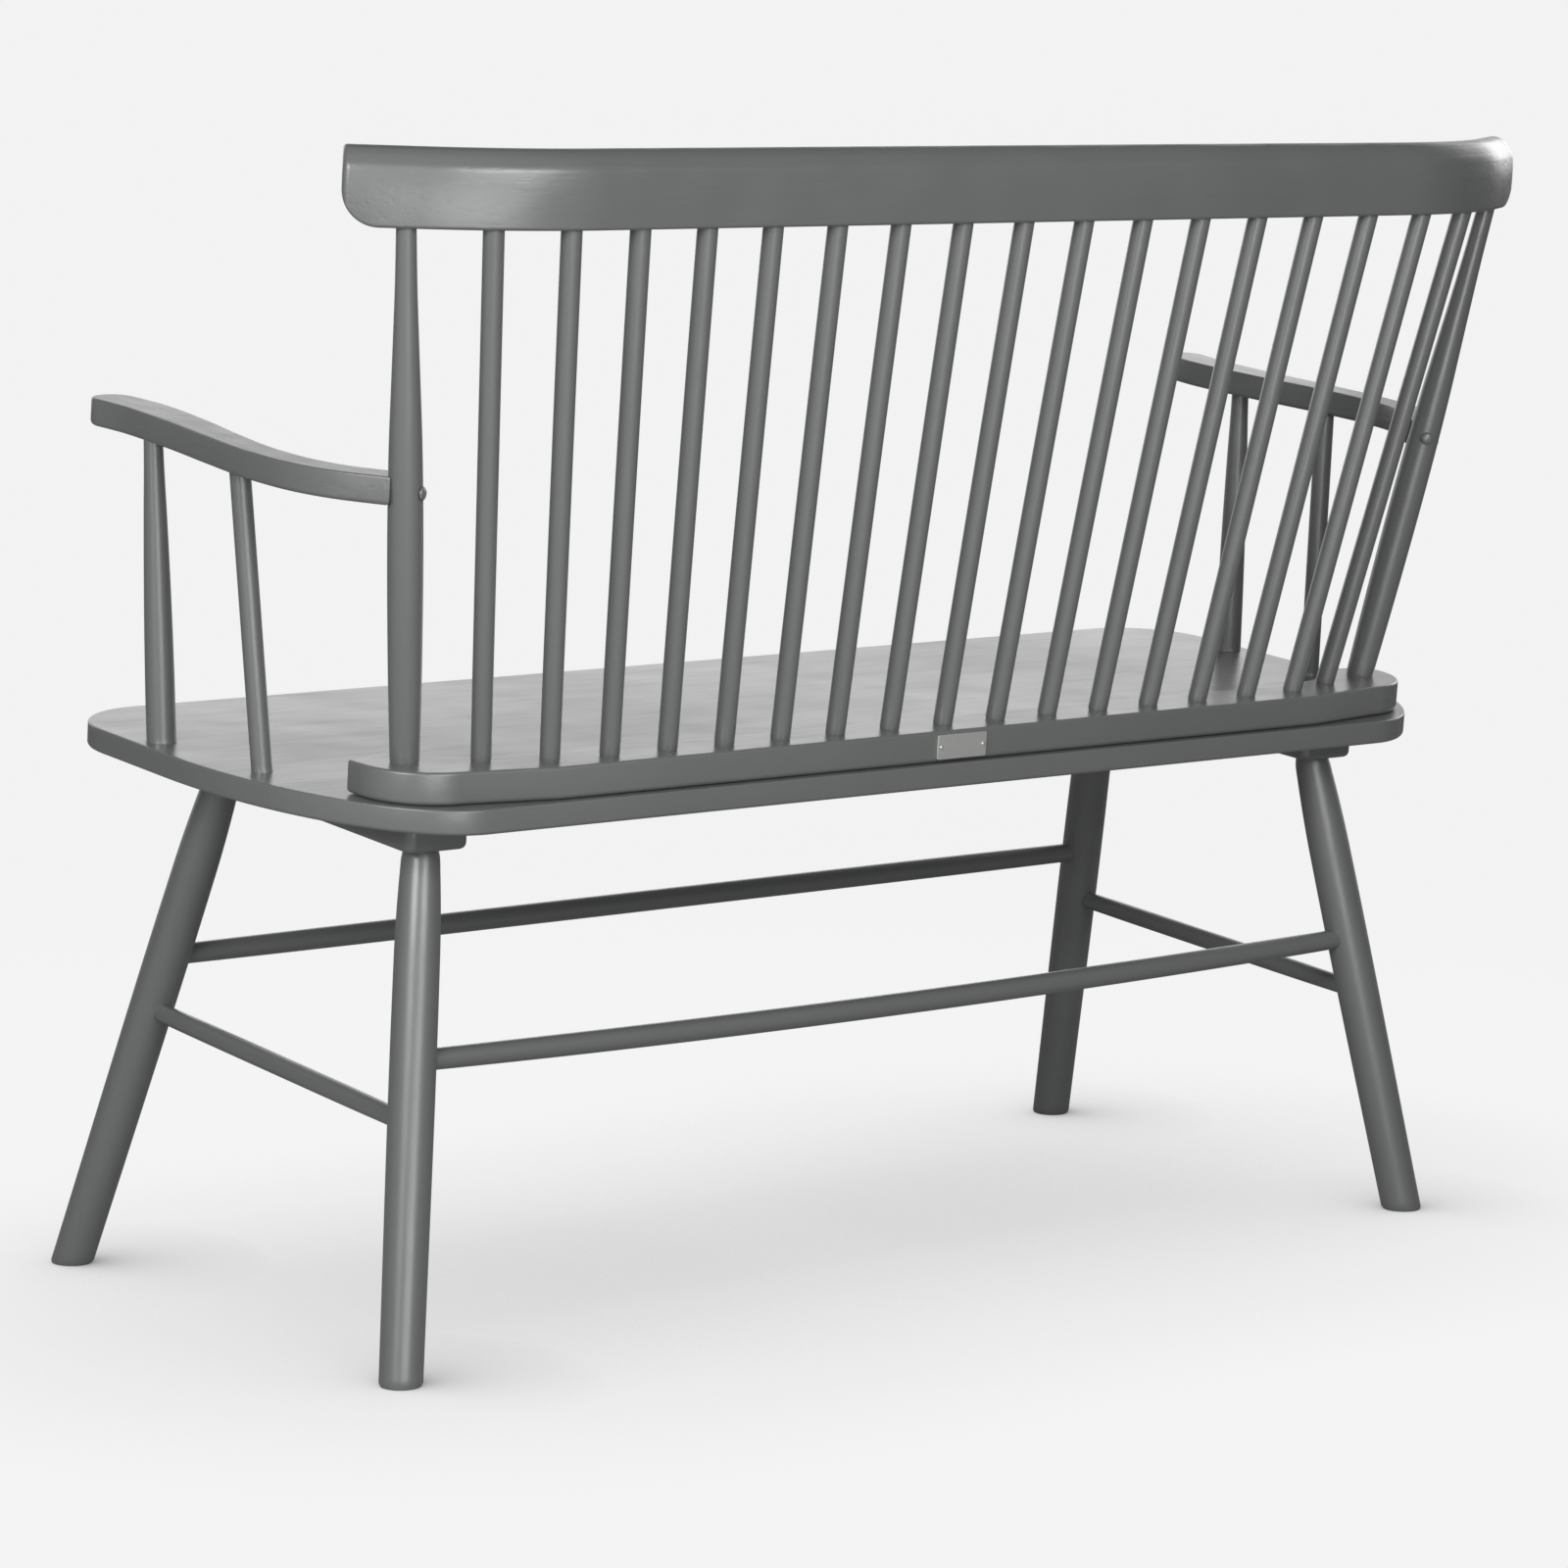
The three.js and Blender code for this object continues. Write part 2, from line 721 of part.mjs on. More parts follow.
function cleat({ name, sign }, number) {
  const round = cleatEdgeRound;
  const outline = roundedRectangle(cleatWidth, cleatRear - cleatFront, cleatCorner);
  const blank = solid(board(outline, cleatThickness + round, round, roundSteps + 1));
  const place = cleatPlace(sign);
  const cutters = [
    slab(cleatTop, 1),
    ...cleatScrewPlaces[number].map((screwPlace) => screwHole(screwPlace, cleatScrewLength)),
    ...legs.filter((leg) => leg.sign === sign).map((leg) => legBoltHole(leg)),
  ];
  return piece(`${name}_cleat`, cutInPlace(blank, place, cutters), paint, place);
}

// Legs: the line of a leg from under its cleat to the floor, in the seat's frame

const seatPlace = new THREE.Matrix4().compose(
  new THREE.Vector3(0, 0, seatRearHeight),
  new THREE.Quaternion().setFromEuler(new THREE.Euler(-angle(seatTiltAngle), 0, 0)),
  unitScale,
);
const floorInSeatFrame = seatPlace.clone().invert();

function legLine(sign, toFront) {
  const inset = toFront ? legFrontInset : legRearInset;
  const y = toFront ? -seatDepth + legFrontSetback : -legRearSetback;
  const top = new THREE.Vector3(sign * (seatWidth / 2 - inset), y, cleatBottom - fit);
  const side = sign * Math.tan(angle(legSideSplayAngle));
  const end = (toFront ? -1 : 1) * Math.tan(angle(legEndSplayAngle));
  const down = new THREE.Vector3(side, end, -1);
  const topHeight = top.clone().applyMatrix4(seatPlace).z;
  const drop = topHeight - top.clone().add(down).applyMatrix4(seatPlace).z;
  return { top, down, foot: top.clone().addScaledVector(down, topHeight / drop) };
}

// The point on a leg's line so far below the seat's top
function legPoint({ top, down }, drop) {
  return top.clone().addScaledVector(down, drop + top.z);
}

const legs = sides.flatMap(({ name, sign }) => [
  { name: `${name}_front`, sign, ...legLine(sign, true) },
  { name: `${name}_rear`, sign, ...legLine(sign, false) },
]);

function legBody({ top, foot }) {
  const length = top.distanceTo(foot);
  const neck = legNeckShares.map(([down, width]) => [length - down * legNeckLength, width * legDiameter / 2]);
  const above = [length + overrun, neck[0][1]];
  const below = [-overrun, legFootShare * legDiameter / 2];
  return solid(turned([below, ...neck.reverse(), above], legSides));
}

function leg(line) {
  const { name, top, foot } = line;
  const place = stand(foot, top);
  const floor = slab(0, -1).transform(floorInSeatFrame.elements);
  const cutters = [
    floor,
    slab(cleatBottom - fit, 1),
    legBoltHole(line),
    ...stretchers.map((stretcher) => stretcherBody(stretcher, fit)),
  ];
  return piece(`${name}_leg`, cutInPlace(legBody(line), place, cutters), paint, place);
}

// Leg bolts: half in the cleat and half in the leg

function legBoltEnds({ top, foot }, spread = 0) {
  const along = foot.clone().sub(top).normalize();
  return [
    top.clone().addScaledVector(along, legBoltInLeg + spread),
    top.clone().addScaledVector(along, -legBoltInCleat - spread),
  ];
}

function legBoltHole(line) {
  return bore(legBoltDiameter / 2 + fit, ...legBoltEnds(line, fit), smallSides);
}

function legBolt(line) {
  const [low, high] = legBoltEnds(line);
  const body = solid(rod(legBoltDiameter / 2, low.distanceTo(high), smallSides));
  return piece(`${line.name}_leg_bolt`, body, zincSteel, stand(low, high));
}

// Stretchers: round bars a little thinner at their ends, let into the legs

function stretcherBetween(name, from, to, diameter, endDiameter, sag = 0) {
  const along = to.clone().sub(from).normalize();
  const past = stretcherSocket - legDiameter / 2;
  const start = from.clone().addScaledVector(along, -past);
  const end = to.clone().addScaledVector(along, past);
  return { name, start, end, diameter, endDiameter, sag };
}

function legNamed(name) {
  return legs.find((line) => line.name === name);
}

function longStretcher(name, row, sag) {
  const from = legPoint(legNamed(`left_${row}`), longStretcherDrop);
  const to = legPoint(legNamed(`right_${row}`), longStretcherDrop);
  return stretcherBetween(name, from, to, longStretcherDiameter, longStretcherEndDiameter, sag);
}

function sideStretcher(name, side) {
  const from = legPoint(legNamed(`${side}_front`), sideStretcherDrop);
  const to = legPoint(legNamed(`${side}_rear`), sideStretcherDrop);
  return stretcherBetween(name, from, to, sideStretcherDiameter, sideStretcherEndDiameter);
}

const stretchers = [
  longStretcher('front_stretcher', 'front', 0),
  longStretcher('rear_stretcher', 'rear', rearStretcherSag),
  sideStretcher('left_stretcher', 'left'),
  sideStretcher('right_stretcher', 'right'),
];

function stretcherBody({ start, end, diameter, endDiameter, sag }, spread = 0) {
  const along = end.clone().sub(start).normalize();
  const across = new THREE.Vector3().crossVectors(up, along);
  const rings = Array.from({ length: sagSteps + 1 }, (_, i) => {
    const share = i / sagSteps;
    const fromMiddle = 2 * share - 1;
    const drop = sag * (1 - fromMiddle ** 2);
    const radius = lerp(diameter, endDiameter, fromMiddle ** 4) / 2 + spread;
    const centre = start.clone().lerp(end, share).addScaledVector(along, spread * fromMiddle);
    centre.z -= drop;
    return Array.from({ length: rodSides }, (__, k) => {
      const turn = 2 * halfTurn * k / rodSides;
      return centre.clone()
        .addScaledVector(across, radius * Math.cos(turn))
        .addScaledVector(up, radius * Math.sin(turn));
    });
  });
  return solid(loft(rings));
}

// Arm bolts, from the back of each post into a barrel nut in the arm

function armBoltPoint(number, distance) {
  const { centre, forward } = armRoot(sides[number].sign, postAxes[number]);
  return centre.clone().addScaledVector(forward, distance);
}

function armBoltPlace(number) {
  return stand(armBoltPoint(number, -postRadius - fit), armBoltPoint(number, 0));
}

function armBoltHole(number) {
  const radius = armBoltDiameter / 2 + fit;
  const from = armBoltPoint(number, -postRadius - overrun);
  const to = armBoltPoint(number, armBoltLength - postRadius + fit);
  return bore(radius, from, to, smallSides);
}

function armBolt({ name }, number) {
  const shank = armBoltDiameter / 2;
  const head = armBoltHeadDiameter / 2;
  const dome = Array.from({ length: roundSteps + 2 }, (_, i) => {
    const turn = quarterTurn * (i + 1) / (roundSteps + 2);
    return [-armBoltHeadHeight * Math.cos(turn), head * Math.sin(turn)];
  });
  const body = solid(turned([...dome, [0, shank], [armBoltLength, shank]], smallSides));
  return piece(`${name}_arm_bolt`, body, paintedSteel, armBoltPlace(number));
}

// A point under or inside the arm on the barrel nut's axis, so far above the arm's underside
function nutPoint(number, height) {
  const point = armBoltPoint(number, barrelNutDistance);
  point.z = armHeight - point.y * Math.tan(angle(armRiseAngle)) + height;
  return point;
}

function barrelNut({ name }, number) {
  const place = stand(nutPoint(number, 0), nutPoint(number, barrelNutLength));
  const blank = solid(rod(barrelNutDiameter / 2, barrelNutLength, smallSides));
  return piece(`${name}_barrel_nut`, cutInPlace(blank, place, [armBoltHole(number)]), zincSteel, place);
}

// End posts, bored for the arm bolts

function endPost({ name }, number) {
  const axis = postAxes[number];
  const place = stand(beyondFoot(axis, socketDepth), axis.head);
  const blank = solid(turned(uprightStations(axis, postShares, postDiameter)));
  return piece(`${name}_end_post`, cutInPlace(blank, place, [armBoltHole(number)]), paint, place);
}

// The bare plate on the rail's rear face and its two pins

const plateY = -railLedge + fit;
const plateMiddle = fit + railHeight / 2;
const towardsFront = new THREE.Vector3(0, -1, 0);

const platePinPlaces = sides.map(({ sign }) => {
  const x = sign * (plateWidth / 2 - platePinInset);
  const from = new THREE.Vector3(x, plateY + plateThickness + fit, plateMiddle);
  return stand(from, from.clone().add(towardsFront));
});

function platePinHole(place) {
  const drill = rod(platePinDiameter / 2 + fit, platePinLength + fit + overrun, smallSides);
  return solid(drill.translate(0, 0, -overrun), place);
}

function backPlate() {
  const outline = roundedRectangle(plateWidth, plateHeight, plateCorner);
  const geometry = new THREE.ExtrudeGeometry(outline, {
    depth: plateThickness,
    curveSegments: roundSteps,
    bevelEnabled: false,
  });
  const face = new THREE.Vector3(0, plateY + plateThickness, plateMiddle);
  const place = stand(face, face.clone().add(towardsFront));
  const body = cutInPlace(solid(geometry), place, platePinPlaces.map(platePinHole));
  return piece('back_plate', body, plateMetal, place);
}

function platePin(place, number) {
  const shank = platePinDiameter / 2;
  const head = platePinHeadDiameter / 2;
  const stations = [[-platePinHeadHeight, head / 2], [0, head], [0, shank], [platePinLength, shank]];
  const body = solid(turned(stations, smallSides));
  return piece(`back_plate_pin_${number + 1}`, body, plateMetal, place);
}

// The whole bench, in the seat's frame

const seatFrame = new THREE.Group();
seatPlace.decompose(seatFrame.position, seatFrame.quaternion, seatFrame.scale);

seatFrame.add(seatPanel(), spindleRail(), crestRail());
spindleAxes.forEach((axis, i) => {
  const number = String(i + 1).padStart(2, '0');
  seatFrame.add(upright(`back_spindle_${number}`, axis, straightShares, spindleDiameter));
});
sides.forEach((side, number) => {
  seatFrame.add(endPost(side, number), arm(side, number), cleat(side, number));
  seatFrame.add(armBolt(side, number), barrelNut(side, number));
  cleatScrewPlaces[number].forEach((place, i) => {
    seatFrame.add(screw(`${side.name}_cleat_screw_${i + 1}`, place, cleatScrewLength));
  });
});
seatFrame.add(...armSpindles.map(armSpindle));
seatFrame.add(...legs.map(leg), ...legs.map(legBolt));
seatFrame.add(...stretchers.map((stretcher) => piece(stretcher.name, stretcherBody(stretcher), paint)));
seatFrame.add(...railScrewPlaces.map((place, i) => screw(`rail_screw_${i + 1}`, place, railScrewLength)));
seatFrame.add(backPlate(), ...platePinPlaces.map(platePin));

// The origin is on the floor under the middle of the bench's box
const bench = new THREE.Group();
bench.name = 'deacons_bench';
bench.add(seatFrame);
bench.updateMatrixWorld(true);
const box = new THREE.Box3().setFromObject(bench, true);
bench.position.y = -(box.min.y + box.max.y) / 2;

export default bench;
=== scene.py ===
"""A painted wooden deacons bench, dressed over its packed frame and set in a plain studio.

Lengths are metres, +Z is up, the sitter looks along -Y and the sitter's left hand is on +X.
The seat's frame has its origin at the middle of the seat's rear top edge, with X along that edge,
Y towards the rear in the seat's plane and Z square to the seat.
"""

import math

import bpy
import numpy as np
from mathutils import Matrix, Vector


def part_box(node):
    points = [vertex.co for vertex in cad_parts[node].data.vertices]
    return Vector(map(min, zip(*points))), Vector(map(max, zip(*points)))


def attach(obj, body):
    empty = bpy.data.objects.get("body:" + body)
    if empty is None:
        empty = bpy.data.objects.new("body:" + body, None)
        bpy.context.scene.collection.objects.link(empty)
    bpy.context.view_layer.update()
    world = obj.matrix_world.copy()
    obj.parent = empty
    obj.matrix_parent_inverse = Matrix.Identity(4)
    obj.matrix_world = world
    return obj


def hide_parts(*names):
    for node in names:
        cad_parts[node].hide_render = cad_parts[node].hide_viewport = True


bl_info = {
    "name": "Deacons bench",
    "version": (1, 0, 0),
    "blender": (4, 5, 0),
    "location": "View3D > Sidebar > Bench",
    "description": "Makes the painted pieces of a deacons bench and a plain studio around it",
    "category": "Object",
}

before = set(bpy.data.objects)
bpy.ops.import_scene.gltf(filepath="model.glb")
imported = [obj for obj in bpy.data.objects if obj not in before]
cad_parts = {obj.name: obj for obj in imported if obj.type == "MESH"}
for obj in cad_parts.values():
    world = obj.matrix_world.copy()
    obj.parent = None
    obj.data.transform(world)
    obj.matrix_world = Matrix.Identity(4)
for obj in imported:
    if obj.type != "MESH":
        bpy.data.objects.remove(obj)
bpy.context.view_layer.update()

# Clearance in every joint, and the rounding of the packed seat's rear edge
FIT = 0.0003
SEAT_CAD_ROUND = 0.002

# Shares of an upright's height against shares of its largest diameter
POST_SHARES = [
    (0, 0.85), (0.13, 0.93), (0.26, 0.98), (0.38, 1), (0.5, 0.98),
    (0.62, 0.91), (0.71, 0.81), (0.8, 0.71), (0.9, 0.61), (1, 0.56),
]
SPINDLE_SHARES = [(0, 1), (1, 1)]
ARM_SPINDLE_SHARES = [
    (0, 1), (0.2, 0.98), (0.42, 0.925), (0.58, 0.86), (0.76, 0.77), (0.92, 0.67), (1, 0.64),
]

# Paint at an upright's foot: how far a bead stands out or a groove goes in, the places of its rings above
# the foot, and their shares of the bead
PAINT_BEAD = 0.00025
PAINT_GROOVE = -0.0004
BEAD_PLACES = (0, 0.0005, 0.0011, 0.0016)
BEAD_SHARES = (1, 0.8, 0.3)

# Shares of the neck's length below a leg's top against shares of the leg's diameter
LEG_NECK_SHARES = [
    (0, 0.735), (0.07, 0.808), (0.27, 0.876), (0.47, 0.92), (0.67, 0.955), (1, 0.99), (1.3, 1),
]
LEG_FOOT_SHARE = 0.955

# A leg's rings as shares of its length: sparse up the straight part and close along the neck
LEG_RING_SHARES = np.append(np.linspace(0.02, 0.78, 30), np.linspace(0.785, 1, 60))

# The crest's rounded shoulder: shares of its height against shares of its depth
CREST_SHOULDER_SHARES = [(0, 0), (0.3, 0.12), (0.56, 0.28), (0.79, 0.5), (0.94, 0.76), (1, 1)]
CREST_DRAW_SHARE = 5 / 12

# Shares of an arm's length against shares of its bow, and where it widens
ARM_BOW_SHARES = [
    (0, 0), (0.09, 0.66), (0.182, 0.97), (0.29, 1), (0.374, 0.9),
    (0.513, 0.6), (0.667, 0.24), (0.853, -0.06), (1, 0),
]
ARM_FIRST_SHARE = 0.045
ARM_WAIST_SHARE = 0.76
ARM_WIDEN_SHARES = (0.35, 0.9)

# How finely round things are divided
ROD_SIDES = 48
LEG_SIDES = 64
SMALL_SIDES = 24
ROD_STEPS = 40
SAG_STEPS = 49
CORNER_STEPS = 32
SMALL_CORNER_STEPS = 8
PLATE_CORNER_STEPS = 6
ROUND_STEPS = 5
DOME_STEPS = 10
BEND_STEPS = 48
SHOULDER_STEPS = 25
SWELL_STEPS = 10
ARM_STEPS = 96
ARM_LINE_POINTS = 768
SPLINE_STEPS = 40

# How far inside its rounding a board's face has one more ring, and how near two points are one
FACE_MARGIN = 0.002
SAME_POINT = 1e-7

# An axis whose unit vector has less than this along X can be crossed with X
OFF_X = 0.7

# Depths in the bump of paint and metal, and how deep pores are beside ridges
PEEL_DEPTH = 0.00001
BRUSH_DEPTH = 0.00002
PORE_DEPTH_SHARE = 0.25

# How much clouds and grain change the paint's tone and gloss, and how much of its top film they take
CLOUD_TONE = 0.10
GRAIN_TONE = 0.07
CLOUD_GLOSS = 0.16
STREAKS_THIN = 0.20
CLOUDS_THIN = 0.12

SHARP_ANGLE = math.radians(32)
DOME_TIP_ANGLE = 0.02
SIDES = (("left", 1), ("right", -1))
ROWS = (("front", True), ("rear", False))

# The floor, where its tone passes into the backdrop's, and its two shadows, each a reach and a direction
FLOOR_RADIUS = 30.0
FLOOR_SIDES = 96
FLOOR_FADE = (0.8, 2.1)
WIDE_SHADE = (0.56, (0, 0.10, 1))
FOOT_SHADE = (0.14, (0.9, 0.05, 0.44))
SHADE_SAMPLES = 12

# The room, and half the angle that its opening takes up
ROOM_RADIUS = 5.0
ROOM_HEIGHT = 3.3
ROOM_SIDES = 64
ROOM_OPENING = math.radians(55)

# Lamps: where each stands, where it looks, its two sides, and whether reflections show it
MIDDLE = (0, 0, 0.5)
LAMPS = {
    "left": ((2.75, 1.5, 1.75), MIDDLE, (1.3, 1.1), True),
    "right": ((0.5, 3.0, 1.75), MIDDLE, (1.4, 1.1), True),
    "top": ((0.0, 0.2, 2.9), MIDDLE, (2.2, 2.2), False),
    "back": ((-1.4, -2.65, 1.15), MIDDLE, (2.7, 0.8), True),
    "floor": ((1.1, 2.3, 0.03), (1.1, 2.0, 2.0), (1.2, 1.5), True),
    "low_left": ((2.8, 1.2, 0.45), MIDDLE, (0.9, 0.4), True),
    "low_right": ((1.15, 2.75, 0.5), MIDDLE, (1.8, 0.36), True),
    "fill": ((3.3, -0.3, 1.0), MIDDLE, (1.6, 1.6), False),
    "side": ((-2.9, -0.8, 1.5), MIDDLE, (1.0, 1.2), True),
}
SENSOR_WIDTH = 36
CLIP_END = 100


# Sizes and colours that a user would change

def number(name, value, description, **limits):
    return bpy.props.FloatProperty(name=name, description=description, default=value, **limits)


def length(name, value, description):
    return number(name, value, description, unit="LENGTH", precision=4)


def turn(name, degrees, description):
    return number(name, math.radians(degrees), description, unit="ROTATION", precision=3)


def share(name, value, description):
    return number(name, value, description, min=0, max=1, subtype="FACTOR")


def power(name, watts):
    return number(name, watts, "Power in watts")


def numbers(name, value, description, **limits):
    return bpy.props.FloatVectorProperty(
        name=name, description=description, default=value, size=len(value), **limits
    )


def colour(name, value, description):
    return numbers(name, value, description, min=0, max=1, subtype="COLOR")


class SeatSizes(bpy.types.PropertyGroup):
    """The seat board and how it stands"""

    width: length("Width", 1.160, "The seat from end to end")
    depth: length("Depth", 0.438, "The seat from front to rear")
    thickness: length("Thickness", 0.0195, "The board's thickness")
    rear_height: length("Rear height", 0.4365, "The seat's rear top edge above the floor")
    tilt: turn("Tilt", 4.4, "How far the seat falls towards the rear")
    front_corner: length("Front corner", 0.072, "Radius of the front corners")
    rear_corner_width: length("Rear corner width", 0.124, "The long rear corners, along the seat")
    rear_corner_depth: length("Rear corner depth", 0.268, "The long rear corners, from the rear forward")
    top_round: length("Top edge", 0.0014, "Rounding of the upper edge")
    lower_round: length("Lower edge", 0.0032, "Rounding of the lower edge")


class RailSizes(bpy.types.PropertyGroup):
    """The rail that carries the spindles"""

    height: length("Height", 0.0255, "The rail's thickness")
    width: length("Width", 0.050, "The rail's width from front to rear")
    ledge: length("Ledge", 0.0065, "How far the rail stands in from the seat's rear edge")
    past_post: length("Past the post", 0.0343, "The rail's end beyond an end post")
    end_depth: length("End depth", 0.0845, "How far the ends come forward")
    end_slant: length("End slant", 0.009, "How much further forward an end's inner corner lies")
    end_width: length("End width", 0.038, "Width of an end")
    corner_radius: length("Corner", 0.058, "Radius of the rear corners")
    sweep: length("Sweep", 0.0125, "How far the rear edge falls forward before the corner")
    sweep_start: length("Sweep start", 0.388, "Where the rear edge starts to fall forward")
    line_straight: length("Straight line", 0.366, "Half of the straight part of the line of holes")
    line_radius: length("Line radius", 0.070, "Radius of the bend in the line of holes")
    line_turn: turn("Line turn", 17, "How far the line of holes turns forward")
    top_round: length("Top edge", 0.0022, "Rounding of the upper edge")
    lower_round: length("Lower edge", 0.0040, "Rounding of the lower edge")


class CrestSizes(bpy.types.PropertyGroup):
    """The bent crest rail"""

    height: length("Height", 0.436, "The crest's lower face above the seat")
    width: length("Width", 0.058, "The crest from its lower to its upper edge")
    thickness: length("Thickness", 0.024, "The crest's thickness")
    straight: length("Straight", 0.407, "Half of the straight middle")
    radius: length("Radius", 0.238, "Radius of the bends")
    turn: turn("Turn", 33.5, "How far each end turns forward")
    past_post: length("Past the post", 0.0476, "The crest's end beyond an end post")
    fall: turn("Fall", 2, "How far the lower face falls towards the front")
    corner: length("Corner", 0.028, "Radius of the lower end corners")
    edge_round: length("Edges", 0.003, "Rounding of the long edges")
    end_round: length("End edges", 0.0055, "Rounding of the ends' upright edges")
    shoulder_height: length("Shoulder height", 0.0165, "The rounded shoulder along the top of the back")
    shoulder_depth: length("Shoulder depth", 0.017, "How far the shoulder draws in at the top")
    swell: length("Swell", 0.0010, "How far the back draws in below the shoulder")
    swell_height: length("Swell height", 0.016, "Where below the shoulder the back starts to draw in")
    crease_round: length("Crease", 0.007, "How softly the shoulder starts from the flat back")


class UprightSizes(bpy.types.PropertyGroup):
    """Back spindles and end posts"""

    lean: turn("Lean", 8.4, "How far the uprights lean back from the seat's normal")
    spindle_count: bpy.props.IntProperty(name="Spindles", description="Number of back spindles", default=17)
    spindle_diameter: length("Spindle", 0.016, "Diameter of a back spindle")
    pitch_below: length("Pitch below", 0.0545, "Distance between spindles along the rail")
    pitch_above: length("Pitch above", 0.0611, "Distance between spindles along the crest")
    post_pitch_below: length("Post pitch below", 0.0598, "From the last spindle to the post, on the rail")
    post_pitch_above: length("Post pitch above", 0.0636, "From the last spindle to the post, on the crest")
    post_diameter: length("Post", 0.0268, "Largest diameter of an end post")
    socket: length("Socket", 0.017, "How deep the uprights stand in the rail and the crest")


class ArmSizes(bpy.types.PropertyGroup):
    """Arms and arm spindles, with insets from the seat's ends and depths from its rear edge"""

    thickness: length("Thickness", 0.0218, "Thickness of an arm")
    height: length("Height", 0.2258, "The arms' underside above the seat's rear edge")
    rise: turn("Rise", 1.5, "How far an arm rises towards its front")
    width: length("Width", 0.038, "Width of an arm near its front")
    bow: length("Bow", 0.033, "How far an arm bows outward behind its middle")
    front_inset: length("Front inset", 0.018, "The arm's nose in from the seat's end")
    front_depth: length("Front depth", 0.412, "The arm's nose from the seat's rear edge")
    nose: length("Nose", 0.017, "Length of the rounded front end")
    turn: turn("Turn", 33, "How far the arm leaves its post outward")
    housing: length("Housing", 0.005, "How deep the arm is let into its post")
    top_round: length("Top edge", 0.0014, "Rounding of the upper edge")
    lower_round: length("Lower edge", 0.0042, "Rounding of the lower edge")
    front_foot_inset: length("Front foot inset", 0.022, "Front arm spindle on the seat")
    front_foot_depth: length("Front foot depth", 0.3085, "Front arm spindle on the seat")
    front_head_inset: length("Front head inset", 0.0155, "Front arm spindle under the arm")
    front_head_depth: length("Front head depth", 0.3245, "Front arm spindle under the arm")
    front_diameter: length("Front spindle", 0.0234, "Largest diameter of a front arm spindle")
    rear_foot_inset: length("Rear foot inset", 0.037, "Rear arm spindle on the seat")
    rear_foot_depth: length("Rear foot depth", 0.1835, "Rear arm spindle on the seat")
    rear_head_inset: length("Rear head inset", 0.0215, "Rear arm spindle under the arm")
    rear_head_depth: length("Rear head depth", 0.206, "Rear arm spindle under the arm")
    rear_diameter: length("Rear spindle", 0.0163, "Diameter of a rear arm spindle")
    tenon: length("Tenon", 0.010, "How deep the arm spindles stand in the seat and the arm")


class LegSizes(bpy.types.PropertyGroup):
    """Cleats, legs and stretchers"""

    cleat_width: length("Cleat width", 0.056, "Width of a cleat")
    cleat_inset: length("Cleat inset", 0.1215, "A cleat's middle from the seat's end")
    cleat_thickness: length("Cleat thickness", 0.026, "Thickness of a cleat")
    cleat_overhang: length("Cleat overhang", 0.0235, "The cleat's end beyond a leg's middle")
    cleat_round: length("Cleat edge", 0.005, "Rounding of a cleat's lower edge")
    cleat_corner: length("Cleat corner", 0.008, "Radius of a cleat's corners")
    front_inset: length("Front inset", 0.118, "A front leg's top from the seat's end")
    rear_inset: length("Rear inset", 0.1205, "A rear leg's top from the seat's end")
    front_setback: length("Front setback", 0.068, "A front leg's top from the seat's front edge")
    rear_setback: length("Rear setback", 0.086, "A rear leg's top from the seat's rear edge")
    side_splay: turn("Side splay", 8.83, "How far a leg runs outward")
    end_splay: turn("End splay", 13.7, "How far a leg runs forward or to the rear")
    diameter: length("Diameter", 0.0354, "Largest diameter of a leg")
    neck: length("Neck", 0.075, "Length of the tapered neck")
    foot_edge: length("Foot edge", 0.0012, "Chamfer around the foot")
    long_drop: length("Long drop", 0.2025, "Front and rear stretchers below the seat's top")
    side_drop: length("Side drop", 0.2485, "Side stretchers below the seat's top")
    long_diameter: length("Long diameter", 0.018, "Diameter of the front and rear stretchers")
    long_end: length("Long end", 0.0165, "Their diameter at the ends")
    side_diameter: length("Side diameter", 0.016, "Diameter of the side stretchers")
    side_end: length("Side end", 0.0145, "Their diameter at the ends")
    socket: length("Socket", 0.020, "How deep a stretcher stands in a leg, from the leg's far side")
    rear_sag: length("Rear sag", 0.0062, "How far the rear stretcher hangs down in the middle")


class HardwareSizes(bpy.types.PropertyGroup):
    """Bolts that show and the bare plate"""

    bolt_diameter: length("Bolt", 0.006, "Diameter of an arm bolt")
    bolt_length: length("Bolt length", 0.062, "Length of an arm bolt")
    bolt_head: length("Bolt head", 0.0106, "Diameter of an arm bolt's domed head")
    bolt_dome: length("Bolt dome", 0.0024, "Height of the domed head")
    plate_width: length("Plate width", 0.050, "Width of the plate")
    plate_height: length("Plate height", 0.020, "Height of the plate")
    plate_thickness: length("Plate thickness", 0.0012, "Thickness of the plate")
    plate_corner: length("Plate corner", 0.0015, "Radius of the plate's corners")
    pin_diameter: length("Pin", 0.002, "Diameter of a plate pin")
    pin_length: length("Pin length", 0.009, "Length of a plate pin")
    pin_head: length("Pin head", 0.0036, "Diameter of a pin's head")
    pin_dome: length("Pin dome", 0.0009, "Height of a pin's head")
    pin_inset: length("Pin inset", 0.0036, "A pin's middle from the plate's end")


